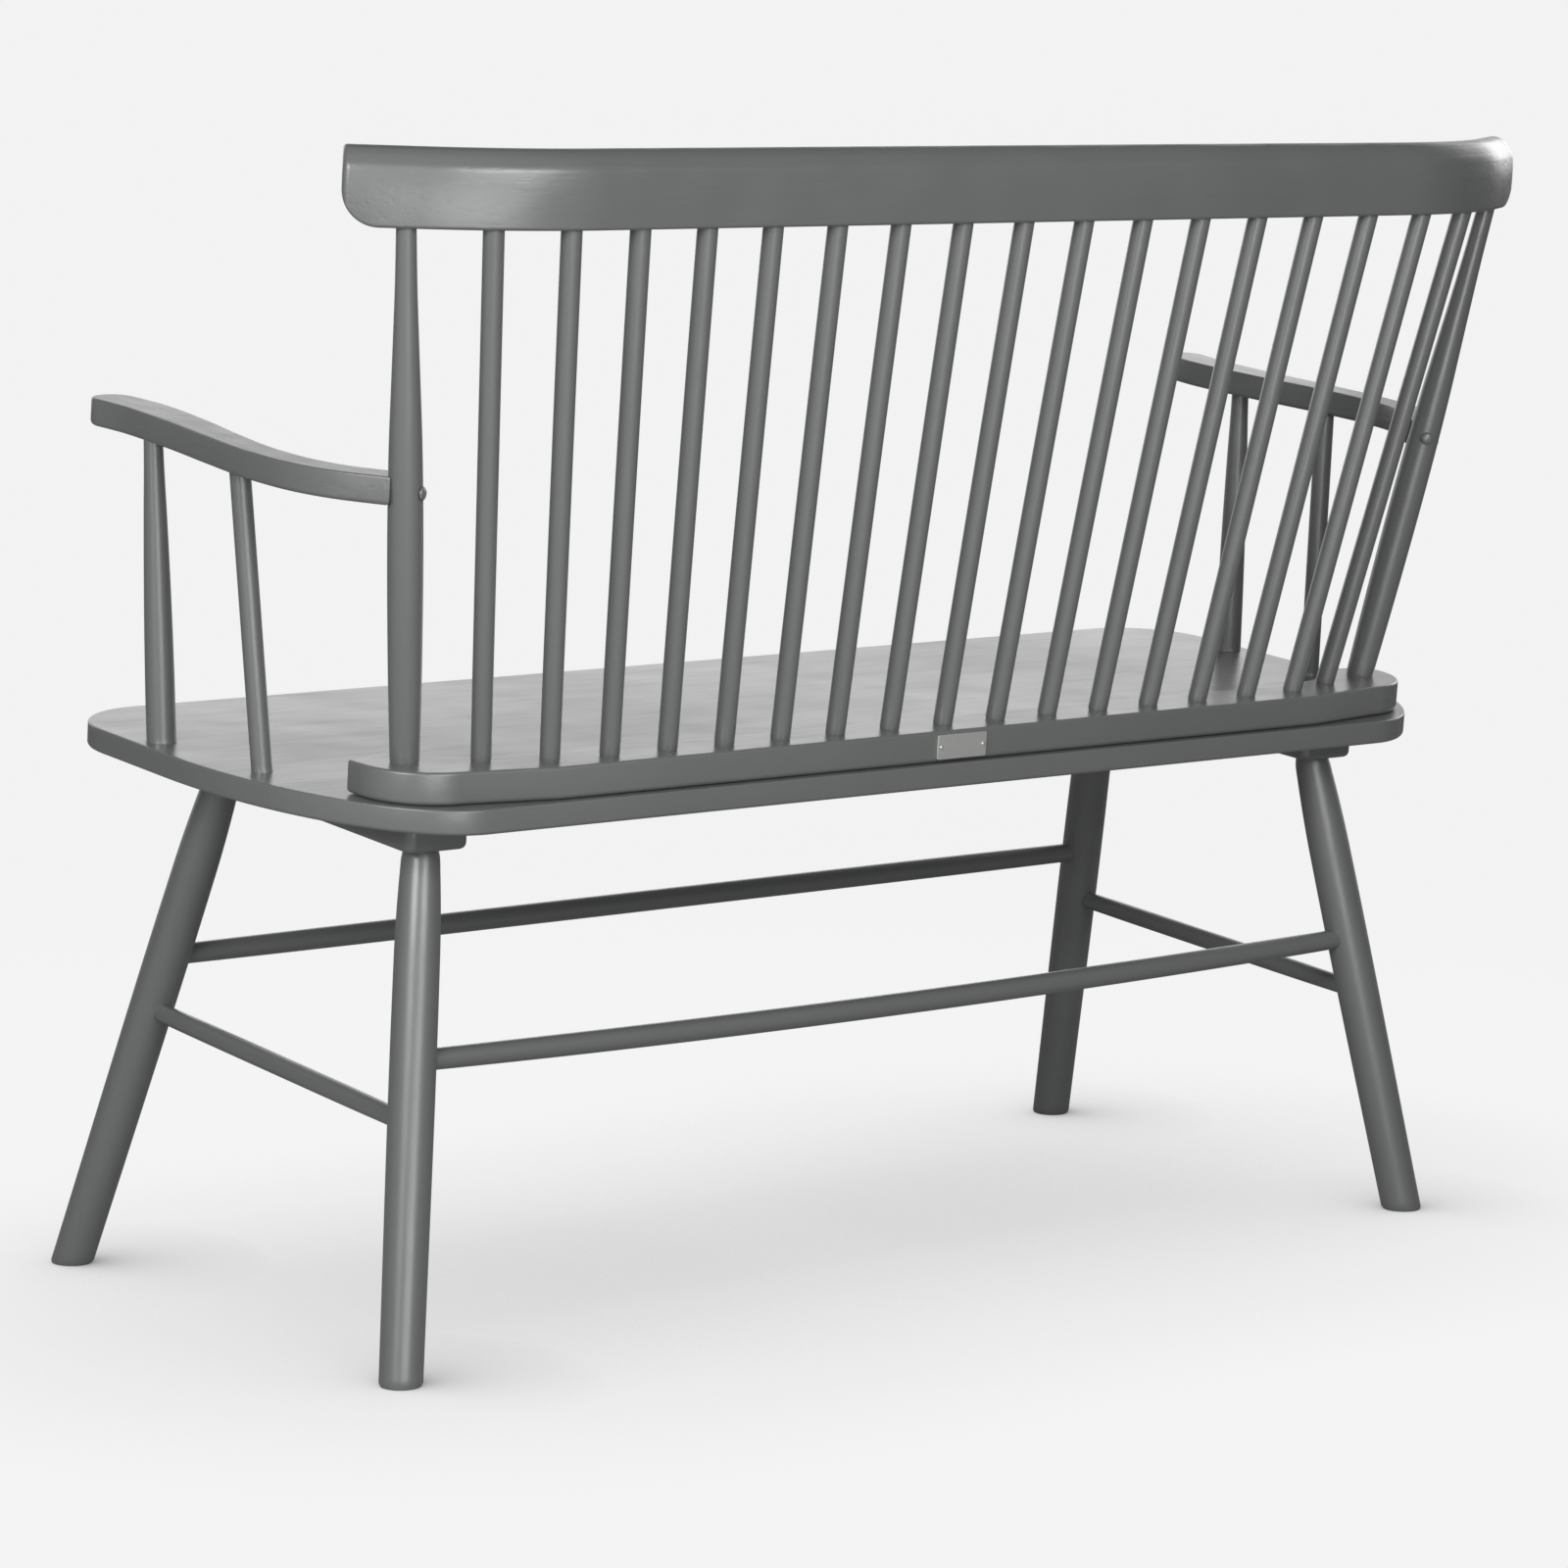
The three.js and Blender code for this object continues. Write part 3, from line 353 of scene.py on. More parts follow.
class Finish(bpy.types.PropertyGroup):
    """Colours and surfaces"""

    paint: colour("Paint", (0.106, 0.111, 0.108), "The satin paint on all the wood")
    paint_roughness: share("Paint roughness", 0.42, "Roughness of the paint")
    sheen: share("Top film", 0.95, "How much of the paint's smoother top film shows")
    sheen_roughness: share("Top film roughness", 0.3, "Roughness of the smoother top film")
    steel: colour("Steel", (0.60, 0.61, 0.62), "Zinc plated screws and bolts")
    plate: colour("Plate", (0.72, 0.73, 0.71), "The bare plate")


class Studio(bpy.types.PropertyGroup):
    """Camera, lamps and backdrop"""

    camera_place: numbers(
        "Camera", (2.5938, 3.3920, 1.0175), "Where the camera stands", subtype="TRANSLATION"
    )
    camera_azimuth: turn("Azimuth", 142.773, "The camera's direction round the bench")
    camera_elevation: turn("Elevation", 8.27, "The camera's height above the bench, as an angle")
    camera_roll: turn("Roll", 0.59, "The camera's turn about its own view")
    camera_shift: numbers("Shift", (0.0038, -0.0040), "The camera's shift, as shares of the frame")
    focal: number("Focal length", 118.84, "In millimetres")
    backdrop: colour("Backdrop", (0.890, 0.890, 0.890), "The plain backdrop")
    floor: colour("Floor", (0.29, 0.29, 0.29), "The grey floor that lights the bench and shows in it")
    floor_seen: colour("Floor seen", (0.905, 0.905, 0.905), "The floor as the camera sees it")
    room: colour("Room", (0.11, 0.11, 0.11), "The dim walls and ceiling, seen only in reflections")
    sky: number("Sky", 0.22, "Strength of the even light")
    floor_shadow: share("Floor shadow", 0.60, "Depth of the soft shadow on the floor")
    foot_shadow: share("Foot shadow", 0.75, "Depth of the short shadows beside the feet")
    left_power: power("Left lamp", 58)
    right_power: power("Right lamp", 48)
    top_power: power("Top lamp", 3)
    back_power: power("Back lamp", 5)
    floor_power: power("Floor lamp", 22)
    low_left_power: power("Low left lamp", 3)
    low_right_power: power("Low right lamp", 15)
    fill_power: power("Fill lamp", 20)
    side_power: power("Side lamp", 8)


GROUPS = {
    "bench_seat": SeatSizes,
    "bench_rail": RailSizes,
    "bench_crest": CrestSizes,
    "bench_uprights": UprightSizes,
    "bench_arms": ArmSizes,
    "bench_legs": LegSizes,
    "bench_hardware": HardwareSizes,
    "bench_finish": Finish,
    "bench_studio": Studio,
}


def settings(name):
    return getattr(bpy.context.scene, "bench_" + name)


# Curves and outlines

def curve_through(table, at):
    """A smooth value at each place: cubic Hermite pieces through the table's pairs, each slope the mean
    slope of its neighbours."""
    x, y = np.array(table, float).T
    slope = np.gradient(y, x)
    i = np.clip(np.searchsorted(x, at, side="right") - 1, 0, len(x) - 2)
    step = x[i + 1] - x[i]
    t = (at - x[i]) / step
    rise = t**2 * (3 - 2 * t)
    start = t * (1 - t) ** 2 * step * slope[i]
    end = t**2 * (t - 1) * step * slope[i + 1]
    return (1 - rise) * y[i] + rise * y[i + 1] + start + end


def spline(points, count):
    """Points evenly spaced along a Catmull-Rom spline: each piece is a cubic whose end slopes are half the
    step between the neighbours, and the whole is resampled by its length."""
    padded = np.vstack([points[:1], points, points[-1:]])
    slope = (padded[2:] - padded[:-2]) / 2
    at = np.linspace(0, len(points) - 1, SPLINE_STEPS * len(points))
    i = np.minimum(at.astype(int), len(points) - 2)
    t = (at - i)[:, None]
    rise = t**2 * (3 - 2 * t)
    dense = (1 - rise) * points[i] + rise * points[i + 1]
    dense += t * (1 - t) ** 2 * slope[i] + t**2 * (t - 1) * slope[i + 1]
    return points_at(np.linspace(0, run_along(dense)[-1], count), dense)


def run_along(points):
    """How far each point lies along the line through them all."""
    return np.append(0, np.cumsum(np.linalg.norm(np.diff(points, axis=0), axis=1)))


def points_at(distances, points):
    """Points at those distances along a line of points."""
    run = run_along(points)
    return np.column_stack([np.interp(distances, run, column) for column in points.T])


def arc(centre, radii, start, end, steps=CORNER_STEPS):
    """Points on an ellipse: centre plus (rx cos a, ry sin a), with a from start to end."""
    angles = np.linspace(start, end, steps + 1)
    return np.array(centre) + np.column_stack([radii[0] * np.cos(angles), radii[1] * np.sin(angles)])


def quadratic(start, control, end, steps=CORNER_STEPS):
    """A quadratic curve: (1-t)^2 start + 2t(1-t) control + t^2 end."""
    t = np.linspace(0, 1, steps + 1)[:, None]
    return (1 - t) ** 2 * np.array(start) + 2 * t * (1 - t) * np.array(control) + t**2 * np.array(end)


def outline_of(parts):
    """One closed outline from its stretches, without doubled points, running counterclockwise."""
    points = np.vstack(parts)
    apart = np.linalg.norm(points - np.roll(points, 1, axis=0), axis=1) > SAME_POINT
    points = points[apart]
    following = np.roll(points, -1, axis=0)
    area = np.sum(points[:, 0] * following[:, 1] - following[:, 0] * points[:, 1])
    return points if area > 0 else points[::-1]


def both_sides(right):
    """A closed outline from its right half, and that half again with X turned about, in reverse order."""
    return outline_of([right, right[::-1] * (-1, 1)])


def rectangle(half_width, front, rear, corner, steps):
    """A rectangle with round corners, the same on both sides of X = 0."""
    x = half_width - corner
    return both_sides(np.vstack([
        arc((x, front + corner), (corner, corner), -math.pi / 2, 0, steps),
        arc((x, rear - corner), (corner, corner), 0, math.pi / 2, steps),
    ]))


def inset(outline, distance):
    """The outline moved inward: each point goes along the sum of its two edge normals, over one plus
    their dot product, so that both edges move by the distance."""
    edge = np.roll(outline, -1, axis=0) - outline
    edge /= np.linalg.norm(edge, axis=1)[:, None]
    after = np.column_stack([-edge[:, 1], edge[:, 0]])
    before = np.roll(after, 1, axis=0)
    reach = 1 + np.sum(before * after, axis=1)
    return outline + distance * (before + after) / reach[:, None]


def bent_line(distance, straight, radius, angle):
    """x, y and heading on a line that runs straight along X, turns forward round an arc and runs straight
    again, the same on both sides of the middle."""
    along = np.abs(distance)
    swept = np.clip((along - straight) / radius, 0, angle)
    past = np.maximum(0, along - straight - radius * angle)
    x = np.minimum(along, straight) + radius * np.sin(swept) + past * math.cos(angle)
    y = -radius * (1 - np.cos(swept)) - past * math.sin(angle)
    return np.sign(distance) * x, y, np.sign(distance) * swept


# Surfaces

def edge_curve(radius):
    """A rounded edge from its flat face on: how far in it lies, r (1 - sin a), and how far up or down from
    the face, r (1 - cos a)."""
    a = np.linspace(0, math.pi / 2, ROUND_STEPS + 1)
    return radius * (1 - np.sin(a)), radius * (1 - np.cos(a))


def board_rings(outline, thickness, top_round, lower_round, margin=FACE_MARGIN):
    """Rings of a board that lies on Z = 0: the outline drawn in along both rounded edges, and one more ring
    on each flat face, a margin in from its edge."""
    lower_in, lower_rise = edge_curve(lower_round)
    top_in, top_fall = edge_curve(top_round)
    draws = np.concatenate([[lower_round + margin], lower_in, top_in[::-1], [top_round + margin]])
    heights = np.concatenate([[0], lower_rise, thickness - top_fall[::-1], [thickness]])
    level = np.ones(len(outline))
    return np.stack([np.column_stack([inset(outline, d), h * level]) for d, h in zip(draws, heights)])


def circle_about(axis, sides=ROD_SIDES):
    """Unit vectors all round, square to an axis: cos a times one and sin a times the other of two vectors
    that are square to it and to each other."""
    axis = axis / np.linalg.norm(axis)
    aside = np.array([1.0, 0, 0]) if abs(axis[0]) < OFF_X else np.array([0, 1.0, 0])
    u = np.cross(aside, axis)
    u /= np.linalg.norm(u)
    a = np.linspace(0, 2 * math.pi, sides, endpoint=False)[:, None]
    return np.cos(a) * u + np.sin(a) * np.cross(axis, u)


def round_rings(centres, radii, sides=ROD_SIDES):
    """Rings of a round bar: about each centre a circle of its radius, square to the line between the first
    and the last centre."""
    circle = circle_about(centres[-1] - centres[0], sides)
    return centres[:, None, :] + radii[:, None, None] * circle


def turned_rings(start, end, distances, radii, sides=ROD_SIDES):
    """Rings of a turned piece: about each point so far from start towards end, a circle of its radius."""
    axis = (end - start) / np.linalg.norm(end - start)
    return round_rings(start + distances[:, None] * axis, radii, sides)


def skin(name, rings):
    """A closed mesh over rings of equally many points: four-sided faces between neighbouring rings, and one
    face over each end. Rings run counterclockwise, seen from beyond the last one."""
    rows, count = rings.shape[:2]
    row, column = np.meshgrid(np.arange(rows - 1), np.arange(count), indexing="ij")
    here = row * count
    after = (column + 1) % count
    quads = np.stack([here + column, here + after, here + count + after, here + count + column], axis=-1)
    first = np.arange(count)[::-1]
    last = (rows - 1) * count + np.arange(count)
    faces = quads.reshape(-1, 4).tolist() + [first.tolist(), last.tolist()]
    mesh = bpy.data.meshes.new(name)
    mesh.from_pydata(rings.reshape(-1, 3).tolist(), [], faces)
    mesh.shade_smooth()
    mesh.set_sharp_from_angle(angle=SHARP_ANGLE)
    mesh.update()
    return mesh


# The seat's frame and the lines that pieces share

def seat_matrix():
    """The seat's frame in the bench's: a fall towards the rear about X, then up to the rear edge's height.
    Y comes from the packed seat board, which reaches furthest back below its rounded edge."""
    seat = settings("seat")
    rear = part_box("seat_panel")[1].y + SEAT_CAD_ROUND * math.sin(seat.tilt)
    return Matrix.Translation((0, rear, seat.rear_height)) @ Matrix.Rotation(-seat.tilt, 4, "X")


def in_bench(points, matrix):
    """Points carried into the bench's frame: the matrix's rotation times each point, plus its place."""
    matrix = np.array(matrix)
    return points @ matrix[:3, :3].T + matrix[:3, 3]


def rail_top():
    return FIT + settings("rail").height


def rail_middle():
    rail = settings("rail")
    return -rail.ledge - rail.width / 2


def crest_middle():
    """Where the uprights' lean carries the rail's middle line, at the height of the crest."""
    return rail_middle() + (settings("crest").height - rail_top()) * math.tan(settings("uprights").lean)


def crest_bottom(y):
    """The height of the crest's lower face, which falls towards the front."""
    crest = settings("crest")
    return crest.height + (y - crest_middle()) * math.tan(crest.fall)


def rail_line(distance):
    rail = settings("rail")
    return bent_line(distance, rail.line_straight, rail.line_radius, rail.line_turn)


def crest_line(distance):
    crest = settings("crest")
    return bent_line(distance, crest.straight, crest.radius, crest.turn)


def post_paths():
    """How far along the rail's and the crest's lines an end post stands from the middle."""
    uprights = settings("uprights")
    half_count = (uprights.spindle_count - 1) / 2
    below = half_count * uprights.pitch_below + uprights.post_pitch_below
    above = half_count * uprights.pitch_above + uprights.post_pitch_above
    return below, above


def upright_ends(below, above):
    """Where an upright leaves the rail and where it meets the crest, in the seat's frame."""
    foot_x, foot_y, _ = rail_line(below)
    head_x, head_y, _ = crest_line(above)
    foot = np.array([foot_x, rail_middle() + foot_y, rail_top()])
    head = np.array([head_x, crest_middle() + head_y, crest_bottom(crest_middle() + head_y)])
    return foot, head


def post_ends(sign):
    below, above = post_paths()
    return upright_ends(sign * below, sign * above)


# Materials

def fill(tree, made, inputs):
    """Each named input of a node gets a link from another node's output, or a value."""
    for name, value in inputs.items():
        if isinstance(value, bpy.types.NodeSocket):
            tree.links.new(value, made.inputs[name])
        else:
            made.inputs[name].default_value = value


def node(tree, kind, at, inputs=None, **values):
    """A node at its place in the editor, with its inputs filled and its own values set."""
    made = tree.nodes.new(kind)
    made.location = at
    for name, value in values.items():
        setattr(made, name, value)
    fill(tree, made, inputs or {})
    return made


def math_node(tree, operation, terms, at, clamp=False):
    inputs = dict(enumerate(terms))
    return node(tree, "ShaderNodeMath", at, inputs, operation=operation, use_clamp=clamp).outputs[0]


def about(tree, middle, amount, value, at):
    """The middle, plus the amount times how far the value lies above a half."""
    return math_node(tree, "MULTIPLY_ADD", (value, amount, middle - amount / 2), at)


def noise(tree, vector, at, scale, detail, roughness=0.5, distortion=0):
    inputs = {"Vector": vector, "Scale": scale, "Detail": detail}
    inputs.update({"Roughness": roughness, "Distortion": distortion})
    return node(tree, "ShaderNodeTexNoise", at, inputs).outputs["Fac"]


def map_range(tree, value, at, source=(0, 1), target=(0, 1), kind="LINEAR"):
    """The value carried from its source range to the target range, and held at the ends."""
    inputs = {"Value": value, "From Min": source[0], "From Max": source[1]}
    inputs.update({"To Min": target[0], "To Max": target[1]})
    return node(tree, "ShaderNodeMapRange", at, inputs, interpolation_type=kind).outputs["Result"]


def mix_colours(tree, mask, first, second, at):
    inputs = {"Factor": mask, "A": (*first, 1), "B": (*second, 1)}
    return node(tree, "ShaderNodeMix", at, inputs, data_type="RGBA").outputs["Result"]


def bump(tree, height, distance, at, before=None):
    """A normal bent by a height, after the normal that another bump has bent before it."""
    inputs = {"Height": height, "Distance": distance}
    if before is not None:
        inputs["Normal"] = before
    return node(tree, "ShaderNodeBump", at, inputs).outputs["Normal"]


def object_place(tree, at):
    return node(tree, "ShaderNodeTexCoord", at).outputs["Object"]


def start_group(name, inputs, outputs):
    """A shader group with its named inputs, as (kind, default), and outputs, as a kind."""
    group = bpy.data.node_groups.new(name, "ShaderNodeTree")
    for label, (kind, default) in inputs.items():
        socket = group.interface.new_socket(name=label, in_out="INPUT", socket_type="NodeSocket" + kind)
        if default is not None:
            socket.default_value = default
    for label, kind in outputs.items():
        group.interface.new_socket(name=label, in_out="OUTPUT", socket_type="NodeSocket" + kind)
    given = node(group, "NodeGroupInput", (-900, 0)).outputs
    return group, given, node(group, "NodeGroupOutput", (900, 0))


def grain_group():
    """Wood grain that telegraphs through paint. The vector comes stretched along the grain: long soft
    ridges from a distorted noise, short pores from a finer one, and the streaks of the top coat's brush."""
    group, given, result = start_group(
        "Grain under paint",
        {"Vector": ("Vector", None), "Ridges": ("Float", 1.0), "Pores": ("Float", 1.0)},
        {"Height": "Float", "Mask": "Float", "Streaks": "Float"},
    )
    ridges = noise(group, given["Vector"], (-600, 150), scale=34, detail=4, roughness=0.62, distortion=0.6)
    pores = noise(group, given["Vector"], (-600, -150), scale=210, detail=2)
    deep = map_range(group, pores, (-350, -150), source=(0.30, 0.45))
    high = math_node(group, "MULTIPLY", (ridges, given["Ridges"]), (-100, 150))
    low = math_node(group, "MULTIPLY", (deep, given["Pores"]), (-100, -150))
    laid = noise(group, given["Vector"], (-600, -450), scale=95, detail=3, distortion=0.8)
    fill(group, result, {
        "Height": math_node(group, "MULTIPLY_ADD", (low, PORE_DEPTH_SHARE, high), (300, 0)),
        "Mask": ridges,
        "Streaks": map_range(group, laid, (-350, -450), source=(0.46, 0.72)),
    })
    return group


def film_group():
    """A sprayed film of satin paint: a fine orange peel, broad waves, and cloudy changes of tone and of
    gloss. Its smooth top film is thinner in the brush's streaks and in some of the clouds."""
    group, given, result = start_group(
        "Paint film",
        {
            "Vector": ("Vector", None),
            "Colour": ("Color", (0.15, 0.15, 0.15, 1)),
            "Roughness": ("Float", 0.36),
            "Film": ("Float", 0.9),
            "Grain": ("Float", 0.5),
            "Streaks": ("Float", 0.0),
        },
        {"Colour": "Color", "Roughness": "Float", "Film": "Float", "Height": "Float", "Waves": "Float"},
    )
    cloud = noise(group, given["Vector"], (-600, 300), scale=5.5, detail=3)
    cloud_tone = about(group, 1, CLOUD_TONE, cloud, (-350, 300))
    grain_tone = about(group, 0, GRAIN_TONE, given["Grain"], (-350, 150))
    tone = math_node(group, "ADD", (cloud_tone, grain_tone), (-150, 250))
    colours = {0: given["Colour"], "Scale": tone}
    gloss = about(group, 0, CLOUD_GLOSS, cloud, (-150, 0))
    patch = map_range(group, cloud, (-350, -450), source=(0.40, 0.66))
    streaked = math_node(group, "MULTIPLY_ADD", (given["Streaks"], -STREAKS_THIN, 1), (-150, -450))
    clouded = math_node(group, "MULTIPLY_ADD", (patch, -CLOUDS_THIN, 1), (-150, -600))
    thin = math_node(group, "MULTIPLY", (streaked, clouded), (150, -600))
    fill(group, result, {
        "Colour": node(group, "ShaderNodeVectorMath", (100, 300), colours, operation="SCALE").outputs[0],
        "Roughness": math_node(group, "ADD", (gloss, given["Roughness"]), (100, 0), clamp=True),
        "Film": math_node(group, "MULTIPLY", (thin, given["Film"]), (300, -600), clamp=True),
        "Height": noise(group, given["Vector"], (-600, -200), scale=420, detail=1),
        "Waves": noise(group, given["Vector"], (-600, -700), scale=13, detail=1),
    })
    return group


def streak_group():
    """Fine parallel streaks of brushed metal, along the vector's first axis."""
    group, given, result = start_group("Brushed streaks", {"Vector": ("Vector", None)}, {"Mask": "Float"})
    stretch = {"Vector": given["Vector"], "Scale": (60, 4000, 4000)}
    drawn = node(group, "ShaderNodeMapping", (-650, 0), stretch).outputs["Vector"]
    fill(group, result, {"Mask": noise(group, drawn, (-400, 0), scale=1, detail=3)})
    return group


EFFECTS = {"Grain under paint": grain_group, "Paint film": film_group, "Brushed streaks": streak_group}


def place_effect(tree, name, at, inputs):
    """The outputs of a node for the shared group of that name, which is built the first time."""
    group = bpy.data.node_groups.get(name) or EFFECTS[name]()
    return node(tree, "ShaderNodeGroup", at, inputs, node_tree=group).outputs


def start_material(name):
    """A new material, its tree and its shader, or the material of that name and nothing to fill."""
    made = bpy.data.materials.get(name)
    if made:
        return made, None, None
    made = bpy.data.materials.new(name)
    made.use_nodes = True
    return made, made.node_tree, made.node_tree.nodes["Principled BSDF"]


def painted_wood(name, stretch, relief, waves=0.0004, ridges=1, pores=1):
    """Satin paint over wood whose grain runs along the axis that stretch shrinks most, with the shallow
    waves of hand sanding."""
    made, tree, shader = start_material(name)
    if tree is None:
        return made
    finish = settings("finish")
    place = object_place(tree, (-1300, 0))
    along = node(tree, "ShaderNodeMapping", (-1100, 0), {"Vector": place, "Scale": stretch})
    grain = place_effect(tree, "Grain under paint", (-850, -150), {
        "Vector": along.outputs["Vector"],
        "Ridges": ridges,
        "Pores": pores,
    })
    film = place_effect(tree, "Paint film", (-550, 100), {
        "Vector": place,
        "Colour": (*finish.paint, 1),
        "Roughness": finish.paint_roughness,
        "Film": finish.sheen,
        "Grain": grain["Mask"],
        "Streaks": grain["Streaks"],
    })
    wavy = bump(tree, film["Waves"], waves, (-500, -250))
    broad = bump(tree, grain["Height"], relief, (-300, -250), wavy)
    fine = bump(tree, film["Height"], PEEL_DEPTH, (-100, -250), broad)
    fill(tree, shader, {
        "Base Color": film["Colour"],
        "Roughness": film["Roughness"],
        "Coat Weight": film["Film"],
        "Coat Roughness": finish.sheen_roughness,
        "Normal": fine,
        "Coat Normal": fine,
    })
    return made


def board_paint():
    return painted_wood("Paint on boards", (0.12, 1, 1), relief=0.00018, waves=0.0014)


def crest_paint():
    return painted_wood("Paint on the crest", (0.12, 1, 1), relief=0.00034, waves=0.0030)


def arm_paint():
    return painted_wood("Paint on arms", (1, 0.12, 1), relief=0.00045, waves=0.0014)


def turned_paint():
    return painted_wood("Paint on turned wood", (1.4, 1.4, 0.10), relief=0.00008, ridges=0.7, pores=0.6)


def stretcher_paint():
    return painted_wood("Paint on stretchers", (0.12, 1.4, 1.4), relief=0.00008, ridges=0.7, pores=0.6)


def side_stretcher_paint():
    return painted_wood("Paint on side stretchers", (1.4, 0.12, 1.4), relief=0.00008, ridges=0.7, pores=0.6)


def bolt_paint():
    return painted_wood("Paint on bolts", (1, 1, 1), relief=0.00002, ridges=0.1, pores=0)


def zinc_steel():
    """Zinc plate: a pale metal with a fine cloudy spangle."""
    made, tree, shader = start_material("Zinc plate")
    if tree is None:
        return made
    steel = Vector(settings("finish").steel)
    spangle = {"Vector": object_place(tree, (-800, 0)), "Scale": 900}
    mask = node(tree, "ShaderNodeTexVoronoi", (-600, 0), spangle).outputs["Distance"]
    tint = mix_colours(tree, mask, steel, 0.8 * steel, (-300, 100))
    fill(tree, shader, {"Base Color": tint, "Metallic": 1, "Roughness": 0.35})
    return made


def plate_metal():
    """Bare brushed metal with streaks along the plate."""
    made, tree, shader = start_material("Bare plate")
    if tree is None:
        return made
    plate = Vector(settings("finish").plate)
    place = {"Vector": object_place(tree, (-900, 0))}
    mask = place_effect(tree, "Brushed streaks", (-650, 0), place)["Mask"]
    fill(tree, shader, {
        "Base Color": mix_colours(tree, mask, 0.86 * plate, plate, (-300, 100)),
        "Metallic": 1,
        "Roughness": map_range(tree, mask, (-300, -100), target=(0.46, 0.62)),
        "Normal": bump(tree, mask, BRUSH_DEPTH, (-300, -350)),
    })
    return made


# Pieces on the frame

def add_object(name, data):
    """An object with that data, in the scene."""
    made = bpy.data.objects.new(name, data)
    bpy.context.scene.collection.objects.link(made)
    return made


def add_piece(name, rings, material):
    """A piece from its rings, standing for the packed node of the same name."""
    mesh = skin(name + "_surface", rings)
    mesh.materials.append(material)
    piece = add_object(name + "_surface", mesh)
    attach(piece, "root")
    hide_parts(name)


def add_board(name, outline, place, thickness, rounds, material):
    """A flat board on the XY plane of its place, with its upper and lower edges rounded."""
    rings = board_rings(outline, thickness, *rounds)
    add_piece(name, in_bench(rings, place), material)


def seat_outline():
    """Straight front, round front corners, and long elliptical rear corners."""
    seat = settings("seat")
    half = seat.width / 2
    front_middle = (half - seat.front_corner, -seat.depth + seat.front_corner)
    front = arc(front_middle, (seat.front_corner, seat.front_corner), -math.pi / 2, 0)
    rear_middle = (half - seat.rear_corner_width, -seat.rear_corner_depth)
    rear_radii = (seat.rear_corner_width, seat.rear_corner_depth)
    return both_sides(np.vstack([front, arc(rear_middle, rear_radii, 0, math.pi / 2, 2 * CORNER_STEPS)]))


class BENCH_OT_seat(bpy.types.Operator):
    """Make the seat board"""

    bl_idname = "bench.seat"
    bl_label = "Seat board"

    def execute(self, context):
        seat = settings("seat")
        place = seat_matrix() @ Matrix.Translation((0, 0, -seat.thickness))
        rounds = (seat.top_round, seat.lower_round)
        add_board("seat_panel", seat_outline(), place, seat.thickness, rounds, board_paint())
        return {"FINISHED"}


def rail_outline():
    """A sawn rail: straight behind, swept forward to round corners, with slanted ends and a curved inner
    edge."""
    rail = settings("rail")
    half = rail_line(post_paths()[0])[0] + rail.past_post
    rear = -rail.ledge
    inner = rear - rail.width
    corner = (half - rail.corner_radius, rear - rail.sweep - rail.corner_radius)
    end_y = rear - rail.end_depth
    inner_end = (half - rail.end_width, end_y - rail.end_slant)
    control = ((rail.sweep_start + inner_end[0]) / 2, inner)
    return both_sides(np.vstack([
        quadratic((rail.sweep_start, inner), control, inner_end),
        [(half, end_y)],
        arc(corner, (rail.corner_radius, rail.corner_radius), 0, math.pi / 2),
        [(rail.sweep_start, rear)],
    ]))


class BENCH_OT_spindle_rail(bpy.types.Operator):
    """Make the rail that carries the spindles"""

    bl_idname = "bench.spindle_rail"
    bl_label = "Spindle rail"

    def execute(self, context):
        rail = settings("rail")
        place = seat_matrix() @ Matrix.Translation((0, 0, FIT))
        rounds = (rail.top_round, rail.lower_round)
        add_board("spindle_rail", rail_outline(), place, rail.height, rounds, board_paint())
        return {"FINISHED"}


def corner_inset(radius, from_end):
    """How far a round corner has drawn in: r - sqrt(r^2 - (r - d)^2) at a distance d from the end."""
    into = np.maximum(0, radius - from_end)
    return radius - np.sqrt(np.maximum(0, radius**2 - into**2))


def crest_section(inward, bottom, top):
    """The crest's section, from the lower rear edge up the back, over the rounded shoulder and down the
    front: pairs of distance behind the middle line and height. The back draws in by a parabola below the
    shoulder. Each height then draws in towards its own middle by the inward distance, up to a largest share
    of its thickness."""
    crest = settings("crest")
    half = crest.thickness / 2
    edge_in, edge_rise = edge_curve(crest.edge_round)
    crease = max(bottom + crest.edge_round, top - crest.shoulder_height)
    climb = np.linspace(0, 1, SHOULDER_STEPS)
    soft = crest.crease_round / crest.shoulder_height
    shoulder_in = curve_through(CREST_SHOULDER_SHARES, climb) * np.clip(climb / soft, 0, 1) ** 0.5
    shoulder_in = shoulder_in * (crest.shoulder_depth - crest.swell) + crest.swell
    shoulder = np.column_stack([half - shoulder_in, crease + climb * (top - crease)])
    up = np.linspace(0, 1, SWELL_STEPS)
    low = max(bottom + crest.edge_round, crease - crest.swell_height)
    swell = np.column_stack([half - crest.swell * up**2, low + up * (crease - low)])
    rear = np.vstack([np.column_stack([half - edge_in, bottom + edge_rise]), swell[1:-1], shoulder])
    section = np.vstack([
        rear,
        np.column_stack([-half + edge_in, top - edge_rise]),
        np.column_stack([-half + edge_in, bottom + edge_rise])[::-1],
    ])
    wide = np.interp(section[:, 1], rear[:, 1], rear[:, 0]) + half
    middle = wide / 2 - half
    draw = 1 - 2 * np.minimum(inward / wide, CREST_DRAW_SHARE)
    section[:, 0] = middle + (section[:, 0] - middle) * draw
    return section


